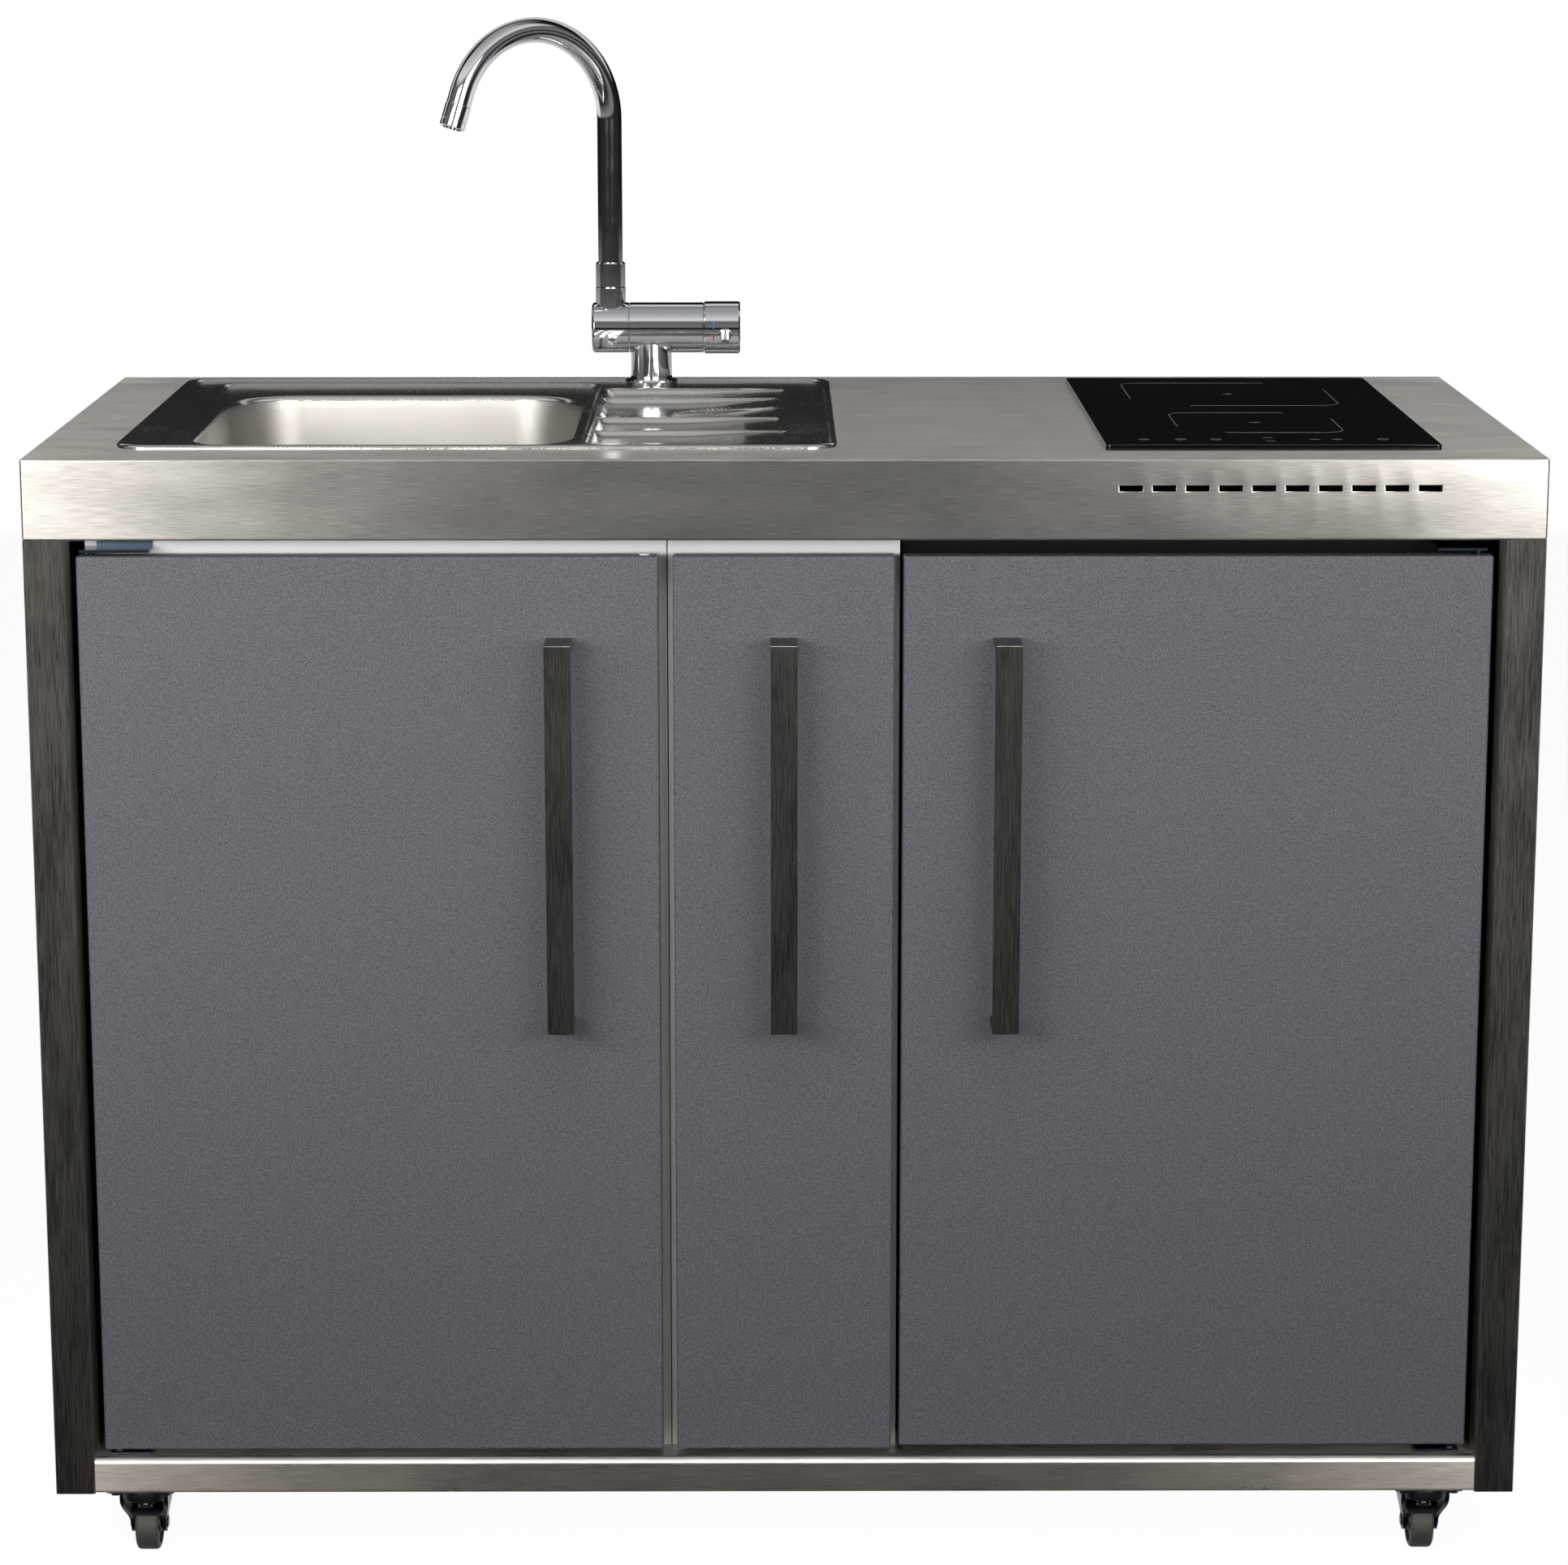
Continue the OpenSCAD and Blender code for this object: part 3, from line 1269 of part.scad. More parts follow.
// Thermostat box: the cover on the liner's wall, with the control's shaft
module thermostat_box() {
    color([0.93, 0.94, 0.95]) {
        block([thermo_x0, thermo_x0 + thermo_w], [thermo_y - 55, thermo_y + 55],
              [thermo_z - 24, thermo_z + 24]);
        rod_x([thermo_x0 - 8, thermo_x0], thermo_y, thermo_z, pin_r);
    }
}

// Thermostat knob: turns on the shaft
module thermostat_knob() {
    x0 = thermo_x0 - slip - 12;
    color([0.85, 0.86, 0.88]) difference() {
        union() {
            rod_x([x0 + 8, thermo_x0 - slip], thermo_y, thermo_z, knob_r);
            rod_x([x0, x0 + 8], thermo_y, thermo_z, knob_r*0.7);
        }
        rod_x([thermo_x0 - 9, thermo_x0 + 1], thermo_y, thermo_z, pin_r + run);
    }
}

// A front folded from sheet as a closed hollow panel
module folded_front(xs, zs) {
    difference() {
        block(xs, [door_y0, door_y1], zs);
        block(grow(xs, -front_sheet), grow([door_y0, door_y1], -front_sheet),
              grow(zs, -front_sheet));
    }
}

// A solid block inside a front, at one of its ends, for a pin
module pin_block(x, z, way) {
    deep = pin_depth + 5;
    block([x - pin_r - 5, x + pin_r + 5], [door_y0, door_y1], way > 0 ? [z, z + deep] : [z - deep, z]);
}

// A hinged front with a blind hole for the hinge pin in each end, at the given place
module front_panel(xs, zs, pivot_x) {
    difference() {
        union() {
            folded_front(xs, zs);
            pin_block(pivot_x, zs[0], 1);
            pin_block(pivot_x, zs[1], -1);
        }
        for (z = zs)
            rod_z(pivot_x, pivot_y, grow([z, z], pin_depth + 1), pin_r + run);
    }
}

// Sink door: hinged at its left edge
module left_door() {
    color([0.42, 0.42, 0.45]) difference() {
        union() {
            front_panel([left_door_x0, left_door_x1], [door_z0, door_z1], left_pivot_x);
            pin_block(plug_x, door_z1, -1);
        }
        rod_z(plug_x, pivot_y, [door_z1 - pin_depth - 1, door_z1 + 1], pin_r + run);
    }
}

// Plug: closes the spare hinge hole in the sink door's upper edge
module left_door_plug() {
    color([0.93, 0.93, 0.92]) {
        rod_z(plug_x, pivot_y, [door_z1, door_z1 + 1.5], plug_r);
        rod_z(plug_x, pivot_y, [door_z1 - pin_depth/2, door_z1], pin_r - ease);
    }
}

// Front of the pull-out
module pullout_front() {
    color([0.42, 0.42, 0.45])
        folded_front([pull_front_x0, pull_front_x1], [door_z0, door_z1]);
}

// Refrigerator door: hinged at its right edge
module fridge_door() {
    color([0.42, 0.42, 0.45])
        front_panel([fridge_door_x0, fridge_door_x1], [fridge_door_z0, door_z1], right_pivot_x);
}

// Inner door: the moulded shell behind the refrigerator's front
module fridge_inner_door() {
    xs = [inner_door_x0, inner_door_x1];
    ys = [door_y1, door_y1 + inner_door_t];
    zs = [inner_door_z0, inner_door_z1];
    color([0.94, 0.95, 0.96]) difference() {
        block(xs, ys, zs);
        block(grow(xs, -liner_t), grow(ys, -liner_t), grow(zs, -liner_t));
    }
}

// Gasket: the magnetic seal round the inner door
module fridge_gasket() {
    xs = grow([inner_door_x0, inner_door_x1], -6);
    zs = grow([inner_door_z0, inner_door_z1], -6);
    y0 = door_y1 + inner_door_t;
    color([0.35, 0.36, 0.38]) difference() {
        block(xs, [y0, y0 + gasket_t], zs);
        block(grow(xs, -gasket_w), [y0 - 1, y0 + gasket_t + 1], grow(zs, -gasket_w));
    }
}

// Door racks: three open bottle racks on the inner door
module fridge_door_racks() {
    y0 = door_y1 + inner_door_t;
    color([0.80, 0.86, 0.88, 0.7]) for (z = rack_zs)
        difference() {
            block([rack_x0, rack_x1], [y0, y0 + rack_d], [z, z + rack_h]);
            block(grow([rack_x0, rack_x1], -2), [y0 + 2, y0 + rack_d - 2],
                  [z + 2, z + rack_h + 1]);
        }
}

// Handle: a flat bar bent back to the door at both ends
module handle(x) {
    y0 = door_y0 - handle_reach;
    color([0.25, 0.25, 0.24]) difference() {
        block([x - handle_w/2, x + handle_w/2], [y0, door_y0], [handle_z0, handle_z1]);
        block([x - handle_w/2 - 1, x + handle_w/2 + 1], [y0 + handle_t, door_y0 + 1],
              grow([handle_z0, handle_z1], -handle_t));
    }
}

worktop();
leg(left, leg_y0);  // leg_front_left
leg(inner_right, leg_y0);  // leg_front_right
leg(left, rear_leg_y1 - leg_w);  // leg_rear_left
leg(inner_right, rear_leg_y1 - leg_w);  // leg_rear_right
side_panels();
back_panel();
base_tray();
caster_plates();
caster_bolts();
sink();
sink_waste();
bottle_trap();
tap_body();
tap_fixing_nut();
water_hoses();
inlet_connectors();
hob_glass();
hob_housing();
induction_coils();
hob_fan();
hob_fan_rotor();
sink_cabinet();
cabinet_shelf();
door_hinge_plates();
pullout_cabinet();
pullout_rails();
fridge_cabinet();
fridge_liner();
fridge_shelves();
compressor();
condenser_coil();
fridge_hinge_plates();
thermostat_box();
left_door();
handle(left_handle_x);  // left_handle
left_door_plug();
pullout_front();
handle(pull_handle_x);  // pullout_handle
pullout_frame();
pullout_trays();
fridge_door();
fridge_inner_door();
fridge_gasket();
handle(fridge_handle_x);  // fridge_handle
fridge_door_racks();
tap_knuckle();
tap_spout();
tap_aerator();
tap_control();
strainer_basket();
thermostat_knob();
caster_fork(0);  // caster_fork_front_left
caster_fork(1);  // caster_fork_front_right
caster_fork(2);  // caster_fork_rear_left
caster_fork(3);  // caster_fork_rear_right
caster_wheel(0);  // caster_wheel_front_left
caster_wheel(1);  // caster_wheel_front_right
caster_wheel(2);  // caster_wheel_rear_left
caster_wheel(3);  // caster_wheel_rear_right
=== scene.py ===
import math

import bmesh
import bpy
from mathutils import Matrix, Vector


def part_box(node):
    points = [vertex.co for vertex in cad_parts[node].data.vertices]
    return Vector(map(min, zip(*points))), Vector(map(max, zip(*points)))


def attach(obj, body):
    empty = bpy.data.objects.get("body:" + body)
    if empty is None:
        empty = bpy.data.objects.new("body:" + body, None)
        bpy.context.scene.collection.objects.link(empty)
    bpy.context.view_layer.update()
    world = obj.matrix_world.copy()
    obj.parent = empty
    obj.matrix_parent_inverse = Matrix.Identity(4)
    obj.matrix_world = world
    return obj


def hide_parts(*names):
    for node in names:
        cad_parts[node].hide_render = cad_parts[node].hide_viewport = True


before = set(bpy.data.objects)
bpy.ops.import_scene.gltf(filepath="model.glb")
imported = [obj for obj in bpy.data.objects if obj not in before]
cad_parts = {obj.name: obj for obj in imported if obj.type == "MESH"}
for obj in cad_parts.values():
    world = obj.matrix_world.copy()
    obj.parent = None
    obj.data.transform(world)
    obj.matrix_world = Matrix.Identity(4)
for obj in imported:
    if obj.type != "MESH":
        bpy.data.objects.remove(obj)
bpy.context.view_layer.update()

# Studio: a white photo room. The camera stands 3.6 m in front of the fascia, a little above the
# worktop, and looks slightly down. FOCAL_PX is the focal length in the photograph's own pixels,
# and angles are in degrees.
scene = bpy.context.scene
scene.view_settings.view_transform = "Standard"

IMAGE_W, FOCAL_PX, SENSOR = 1932, 5356.8, 36.0
CAMERA_AT = (-0.0174, -3.9613, 1.4857)
LOOK_DOWN, LOOK_RIGHT = 11.769, 0.256
camera = bpy.data.objects.new("camera", bpy.data.cameras.new("camera"))
camera.data.sensor_width = SENSOR
camera.data.lens = SENSOR*FOCAL_PX/IMAGE_W
camera.location = CAMERA_AT
camera.rotation_euler = (math.radians(90 - LOOK_DOWN), 0, math.radians(-LOOK_RIGHT))
scene.collection.objects.link(camera)
scene.camera = camera


def colour(code):
    """The linear colour of an sRGB hex value."""
    parts = [int(code[i:i + 2], 16)/255 for i in (1, 3, 5)]
    linear = [c/12.92 if c <= 0.04045 else ((c + 0.055)/1.055)**2.4 for c in parts]
    return (*linear, 1.0)


def add(tree, kind, links=None, **settings):
    """Adds a node; links gives each input socket a value or the output that feeds it."""
    node = tree.nodes.new(kind)
    for name, value in settings.items():
        setattr(node, name, value)
    for socket, value in (links or {}).items():
        if isinstance(value, bpy.types.NodeSocket):
            tree.links.new(value, node.inputs[socket])
        else:
            node.inputs[socket].default_value = value
    return node


world = bpy.data.worlds.new("photo_room")
scene.world = world
world.use_nodes = True
sky = world.node_tree
sky.nodes.clear()
ray = add(sky, "ShaderNodeLightPath")
way = add(sky, "ShaderNodeTexCoord")
axes = add(sky, "ShaderNodeSeparateXYZ", {0: way.outputs["Generated"]})
height = add(sky, "ShaderNodeMapRange", {"Value": axes.outputs["Z"], "From Min": -1.0})
# What metal mirrors of the room, as pairs of a height, from 0 straight down to 1 straight up, and
# half the level there: in front a dark room over a grey floor, with a pale ceiling, and behind
# the unit white ground under a black wall.
FRONT_ROOM = ((0.0, 0.01), (0.33, 0.02), (0.43, 0.135), (0.447, 0.12), (0.456, 0.012),
              (0.54, 0.012), (0.55, 0.11), (0.75, 0.075), (0.81, 0.45), (1.0, 0.20))
BACK_ROOM = ((0.0, 0.25), (0.43, 0.5), (0.445, 0.4), (0.46, 0.005), (0.90, 0.005), (0.96, 0.1),
             (1.0, 0.2))
ROOM_LEVEL, PANEL_LEVEL, SOFT_LEVEL = 2.0, 8.2, 0.06
rooms = []
for stops in (FRONT_ROOM, BACK_ROOM):
    room = add(sky, "ShaderNodeValToRGB", {0: height.outputs[0]})
    ends = room.color_ramp.elements
    for end, (at, level) in zip(ends, (stops[0], stops[-1])):
        end.position = at
        end.color = (level, level, level, 1)
    for at, level in stops[1:-1]:
        ends.new(at).color = (level, level, level, 1)
    rooms.append(room.outputs[0])
is_front = add(sky, "ShaderNodeMapRange", {"Value": axes.outputs["Y"], "From Min": 0.1,
               "From Max": -0.1})
room = add(sky, "ShaderNodeMix", {"Factor": is_front.outputs[0], "A": rooms[1], "B": rooms[0]},
           data_type="RGBA")
# Two tall light panels stand on either side of the camera, with the dark room between them.
# Each row below gives a direction, and where along it a panel's edge starts and ends.
PANEL_SHIFT = 0.004
depth = add(sky, "ShaderNodeMath", {0: axes.outputs["Y"]}, operation="ABSOLUTE")
slant = add(sky, "ShaderNodeMath", {0: axes.outputs["X"], 1: depth.outputs[0]},
            operation="DIVIDE")
off_axis = add(sky, "ShaderNodeMath", {0: slant.outputs[0], 1: PANEL_SHIFT},
               operation="SUBTRACT")
aside = add(sky, "ShaderNodeMath", {0: off_axis.outputs[0]}, operation="ABSOLUTE")
panel = is_front.outputs[0]
for source, low, high in ((aside.outputs[0], 0.155, 0.175), (aside.outputs[0], 0.85, 0.70),
                          (axes.outputs["Z"], -0.05, 0.05), (axes.outputs["Z"], 0.50, 0.42)):
    inside = add(sky, "ShaderNodeMapRange", {"Value": source, "From Min": low, "From Max": high},
                 interpolation_type="SMOOTHSTEP")
    panel = add(sky, "ShaderNodeMath", {0: panel, 1: inside.outputs[0]},
                operation="MULTIPLY").outputs[0]
seen = add(sky, "ShaderNodeBackground", {"Color": colour("#FFFFFF"), "Strength": 1.0})
room_light = add(sky, "ShaderNodeBackground", {"Color": room.outputs["Result"],
                 "Strength": ROOM_LEVEL})
panel_gain = add(sky, "ShaderNodeMath", {0: panel, 1: PANEL_LEVEL}, operation="MULTIPLY")
panel_light = add(sky, "ShaderNodeBackground", {"Color": colour("#FFFDFA"),
                  "Strength": panel_gain.outputs[0]})
mirrored = add(sky, "ShaderNodeAddShader", {0: room_light.outputs[0],
               1: panel_light.outputs[0]})
light = add(sky, "ShaderNodeBackground", {"Color": colour("#FBFBFF"),
            "Strength": SOFT_LEVEL})
bounced = add(sky, "ShaderNodeMath", {0: ray.outputs["Is Glossy Ray"],
              1: ray.outputs["Is Transmission Ray"]}, operation="ADD", use_clamp=True)
both = add(sky, "ShaderNodeMixShader", {0: bounced.outputs[0], 1: light.outputs[0],
           2: mirrored.outputs[0]})
every = add(sky, "ShaderNodeMixShader", {0: ray.outputs["Is Camera Ray"], 1: both.outputs[0],
            2: seen.outputs[0]})
add(sky, "ShaderNodeOutputWorld", {"Surface": every.outputs[0]})

# The lamps light the paint: two low strips close to the fronts, the left one stronger, and one
# overhead. Metal mirrors the room above instead, and a long reflector over the unit's rear edge.
for lamp_name, place, aim, wide, tall, watts in (
        ("key_lamp", (-0.95, -1.4, 1.10), (-0.2, -0.3, 0.98), 1.3, 0.4, 13),
        ("fill_lamp", (0.95, -1.4, 1.10), (0.2, -0.3, 0.98), 1.3, 0.4, 9),
        ("top_lamp", (-0.1, -1.6, 2.7), (0.0, -0.3, 0.9), 2.0, 0.7, 20),
        ("rear_reflector", (0.0, 0.66, 1.70), (0.0, 0.0, 1.70), 3.6, 0.4, 3.2)):
    lamp = bpy.data.objects.new(lamp_name, bpy.data.lights.new(lamp_name, "AREA"))
    lamp.data.shape = "RECTANGLE"
    lamp.data.size = wide
    lamp.data.size_y = tall
    lamp.data.energy = watts
    lamp.location = place
    lamp.rotation_euler = (Vector(aim) - Vector(place)).to_track_quat("-Z", "Y").to_euler()
    lamp.visible_camera = False
    lamp.visible_glossy = lamp_name == "rear_reflector"
    lamp.visible_diffuse = lamp_name != "rear_reflector"
    scene.collection.objects.link(lamp)


def material(name):
    """A new material with its node tree, its shader and its object coordinates."""
    made = bpy.data.materials.new(name)
    made.use_nodes = True
    tree = made.node_tree
    tree.nodes.clear()
    shader = add(tree, "ShaderNodeBsdfPrincipled")
    add(tree, "ShaderNodeOutputMaterial", {"Surface": shader.outputs[0]})
    where = add(tree, "ShaderNodeTexCoord")
    return made, tree, shader, where.outputs["Object"]


# Floor: a plain pale studio floor that is white to the camera and keeps a faint shadow of the
# unit. Metal mirrors the room's own floor instead of it.
FLOOR_REACH = 6.0
floor_mat = bpy.data.materials.new("studio_floor")
floor_mat.use_nodes = True
floor_tree = floor_mat.node_tree
floor_tree.nodes.clear()
floor_ray = add(floor_tree, "ShaderNodeLightPath")
paint = add(floor_tree, "ShaderNodeBsdfDiffuse", {"Color": colour("#5E5E5E")})
glow = add(floor_tree, "ShaderNodeEmission", {"Strength": floor_ray.outputs["Is Camera Ray"]})
glow.inputs["Color"].default_value = colour("#FAFAFA")
lit = add(floor_tree, "ShaderNodeAddShader", {0: paint.outputs[0], 1: glow.outputs[0]})
clear = add(floor_tree, "ShaderNodeBsdfTransparent")
floor_both = add(floor_tree, "ShaderNodeMixShader", {0: floor_ray.outputs["Is Glossy Ray"],
                 1: lit.outputs[0], 2: clear.outputs[0]})
add(floor_tree, "ShaderNodeOutputMaterial", {"Surface": floor_both.outputs[0]})
floor_bm = bmesh.new()
bmesh.ops.create_grid(floor_bm, x_segments=1, y_segments=1, size=FLOOR_REACH)
floor_mesh = bpy.data.meshes.new("studio_floor")
floor_bm.to_mesh(floor_mesh)
floor_bm.free()
floor_mesh.materials.append(floor_mat)
studio_floor = bpy.data.objects.new("studio_floor", floor_mesh)
scene.collection.objects.link(studio_floor)

# Base tray: a tray folded from 2 mm stainless sheet that ties the legs together, open beneath.
# Its front shows as a rail between the legs, grained along its length, with rolled bends.
AXES = (Vector((1, 0, 0)), Vector((0, 1, 0)), Vector((0, 0, 1)))


def corners(node):
    """The lowest and highest corner of a CAD node, in millimetres."""
    low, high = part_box(node)
    return low*1000, high*1000


def block(bm, low, high):
    """Adds a block between two corners, and returns its faces."""
    low, high = Vector(low), Vector(high)
    shape = Matrix.Translation((low + high)/2) @ Matrix.Diagonal((*(high - low), 1))
    made = bmesh.ops.create_cube(bm, size=1, matrix=shape)["verts"]
    return list({face for vert in made for face in vert.link_faces})


def edges_of(faces, along=None):
    """The edges of some faces, or only those that run along one axis."""
    edges = {edge for face in faces for edge in face.edges}
    if along is None:
        return list(edges)
    axis = AXES[along]
    return [e for e in edges if abs((e.verts[1].co - e.verts[0].co).normalized() @ axis) > 0.99]


def soften(bm, edges, width, steps=3):
    """Rounds some edges to a width, as folding or deburring leaves them."""
    bmesh.ops.bevel(bm, geom=list(edges), offset=width, offset_type="OFFSET", segments=steps,
                    profile=0.5, affect="EDGES", material=-1, clamp_overlap=True)


def facing(bm, direction):
    """The flat faces whose outside looks along a direction."""
    bm.normal_update()
    return [face for face in bm.faces if face.normal @ Vector(direction) > 0.999]


def piece(name, bm, body, slot, look, *nodes, sharp=35, sheet=0, keep_normals=False):
    """Turns a mesh in millimetres into a piece on a body, with walls as thick as sheet says."""
    bmesh.ops.remove_doubles(bm, verts=bm.verts, dist=0.002)
    if not keep_normals:
        bmesh.ops.recalc_face_normals(bm, faces=bm.faces)
    bmesh.ops.scale(bm, vec=(0.001, 0.001, 0.001), verts=bm.verts)
    for edge in bm.edges:
        edge.smooth = edge.calc_face_angle(math.pi) < math.radians(sharp)
    for face in bm.faces:
        face.smooth = True
    mesh = bpy.data.meshes.new(name)
    bm.to_mesh(mesh)
    bm.free()
    made = bpy.data.objects.new(name, mesh)
    scene.collection.objects.link(made)
    for finish in (look if isinstance(look, (list, tuple)) else [look]):
        mesh.materials.append(finish)
    if sheet:
        wall = made.modifiers.new("sheet", "SOLIDIFY")
        wall.thickness = sheet/1000
        wall.offset = -1
    even = made.modifiers.new("flat_faces_stay_flat", "WEIGHTED_NORMAL")
    even.keep_sharp = True
    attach(made, body)
    if nodes:
        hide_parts(*nodes)


def vary_colour(tree, shader, code, pattern, low, high, span=(0.3, 0.7)):
    """Makes a colour darker and lighter, between two factors, as a pattern goes over its span."""
    tone = add(tree, "ShaderNodeMapRange", {"Value": pattern, "From Min": span[0],
               "From Max": span[1], "To Min": low, "To Max": high})
    tinted = add(tree, "ShaderNodeVectorMath", {0: colour(code)[:3],
                 "Scale": tone.outputs[0]}, operation="SCALE")
    tree.links.new(tinted.outputs[0], shader.inputs["Base Color"])


def vary_gloss(tree, shader, pattern, low, high, span=(0.0, 1.0)):
    """Takes the roughness from one value to another as a pattern goes over its span."""
    sheen = add(tree, "ShaderNodeMapRange", {"Value": pattern, "From Min": span[0],
                "From Max": span[1], "To Min": low, "To Max": high})
    tree.links.new(sheen.outputs[0], shader.inputs["Roughness"])


# Stainless sheet, brushed in long strokes: a soft sheen drawn out across the grain, with wide
# faint clouds. Real scratches are 0.1 mm wide; they are drawn 0.7 mm wide so that they show.
STROKE_W, STROKE_L, CLOUD_W, CLOUD_L = 0.0007, 0.022, 0.025, 0.09


def brushed_steel(name, code, grain, roughness=0.30, spread=1.0, contrast=0.18):
    """Scratches run along the grain axis, and spread says how far they draw the sheen out."""
    made, tree, shader, where = material(name)
    stroke = [1/STROKE_W]*3
    stroke[grain] = 1/STROKE_L
    lines = add(tree, "ShaderNodeMapping", {"Vector": where, "Scale": stroke})
    scratches = add(tree, "ShaderNodeTexNoise", {"Vector": lines.outputs[0], "Scale": 1.0,
                    "Detail": 1.0, "Roughness": 0.5})
    cloud = [1/CLOUD_W]*3
    cloud[grain] = 1/CLOUD_L
    bands = add(tree, "ShaderNodeMapping", {"Vector": where, "Scale": cloud})
    clouds = add(tree, "ShaderNodeTexNoise", {"Vector": bands.outputs[0], "Scale": 1.0,
                 "Detail": 3.0})
    mixed = add(tree, "ShaderNodeMix", {"Factor": 0.35, "A": scratches.outputs["Fac"],
                "B": clouds.outputs["Fac"]})
    vary_colour(tree, shader, code, mixed.outputs[0], 1 - contrast, 1 + contrast, (0.36, 0.64))
    vary_gloss(tree, shader, clouds.outputs["Fac"], roughness*0.96, roughness*1.04, (0.3, 0.7))
    across = {i: 0.0 if i == grain else 0.7071 for i in range(3)}
    spread_way = add(tree, "ShaderNodeCombineXYZ", across)
    tree.links.new(spread_way.outputs[0], shader.inputs["Tangent"])
    shader.inputs["Metallic"].default_value = 1.0
    shader.inputs["Anisotropic"].default_value = spread
    return made


worktop_steel = brushed_steel("brushed_stainless", "#DAD6D0", 0)
# The rail's face is the worktop's stainless painted darker: painted shade
rail_steel_painted_shade = brushed_steel("rail_stainless_painted_shade", "#C6BEB5", 0, 0.28)
# Rolling stretches the scratches of a bend away, so it is duller and shines the same all ways
bend_steel = brushed_steel("rolled_bend_stainless", "#DAD6D0", 0, 0.36, 0.0)
TRAY_RETURN, TRAY_WALL, TOP_BEND, FOOT_BEND = 92, 2, 6, 2.5
tray_low, tray_high = corners("base_tray")
bm = bmesh.new()
block(bm, tray_low, tray_high)
long_edges = edges_of(bm.faces, 0)
soften(bm, [e for e in long_edges if e.verts[0].co.z < tray_low.z + 1], FOOT_BEND)
soften(bm, edges_of(facing(bm, (0, 0, 1)), 0), TOP_BEND, 6)
bmesh.ops.inset_region(bm, faces=facing(bm, (0, 0, -1)), thickness=TRAY_RETURN,
                       use_boundary=True, use_even_offset=True)
below = max(facing(bm, (0, 0, -1)), key=lambda face: face.calc_area())
bmesh.ops.delete(bm, geom=[below], context="FACES")
for face in bm.faces:
    if face.normal.z > 0.05 and abs(face.normal.y) > 0.05:
        face.material_index = 1
piece("base_tray_sheet", bm, "frame", "brushed_stainless", [rail_steel_painted_shade, bend_steel],
      "base_tray", sheet=TRAY_WALL)


# Casters: pressed steel swivel forks with a black coat, on zinc-plated plates bolted to the tray.
# The wheels have a grey tread on a darker recessed hub, and turn on riveted axles.
def turned(bm, profile, start, along, steps):
    """Spins a profile of (distance along, radius) pairs once round an axis."""
    axis = Vector(along).normalized()
    across = axis.orthogonal().normalized()
    start = Vector(start)
    verts = [bm.verts.new(start + axis*far + across*radius) for far, radius in profile]
    edges = [bm.edges.new(pair) for pair in zip(verts, verts[1:])]
    bmesh.ops.spin(bm, geom=verts + edges, cent=start, axis=axis, angle=math.tau, steps=steps,
                   use_merge=True)


# Moulded plastic and rubber, and smooth dipped paint, take a soft even sheen with a faint grain.
# The real grain is 0.1 mm wide; it is drawn 0.6 mm wide or more so that it shows.
def moulded_plastic(name, code, roughness, grit=0.0006):
    made, tree, shader, where = material(name)
    specks = add(tree, "ShaderNodeTexNoise", {"Vector": where, "Scale": 1/grit, "Detail": 2.0})
    vary_colour(tree, shader, code, specks.outputs["Fac"], 0.93, 1.07)
    vary_gloss(tree, shader, specks.outputs["Fac"], roughness - 0.06, roughness + 0.06)
    rise = add(tree, "ShaderNodeBump", {"Height": specks.outputs["Fac"], "Strength": 0.15,
               "Distance": 0.0001})
    tree.links.new(rise.outputs[0], shader.inputs["Normal"])
    shader.inputs["IOR"].default_value = 1.5
    return made


# Plated, drawn or turned metal: a bright skin of small crystals or tool marks that catch the
# light one by one. Real ones are under 1 mm wide; they are drawn 4 mm wide so that they show.
def bright_metal(name, code):
    made, tree, shader, where = material(name)
    flakes = add(tree, "ShaderNodeTexVoronoi", {"Vector": where, "Scale": 1/0.004})
    vary_colour(tree, shader, code, flakes.outputs["Distance"], 0.9, 1.08, (0.0, 1.0))
    clouds = add(tree, "ShaderNodeTexNoise", {"Vector": where, "Scale": 1/0.02})
    vary_gloss(tree, shader, clouds.outputs["Fac"], 0.10, 0.24)
    shader.inputs["Metallic"].default_value = 1.0
    return made


def coat_node(node, look):
    """Gives a CAD node its finish through its material slots."""
    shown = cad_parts[node]
    for slot in shown.material_slots:
        slot.material = look


black_plastic = moulded_plastic("black_polyamide", "#1B1B1D", 0.38)
fork_coat = moulded_plastic("black_coated_pressed_steel", "#151517", 0.3, 0.001)
tread_rubber = moulded_plastic("grey_thermoplastic_rubber", "#58564F", 0.6)
hub_plastic = moulded_plastic("dark_hub_polypropylene", "#2A2A2B", 0.5)
zinc = bright_metal("zinc_plated_steel", "#76828F")
coat_node("caster_plates", zinc)
coat_node("caster_bolts", zinc)


def smooth(value):
    """Eases a value from 0 to 1, and holds it there outside."""
    value = min(max(value, 0.0), 1.0)
    return value*value*(3 - 2*value)


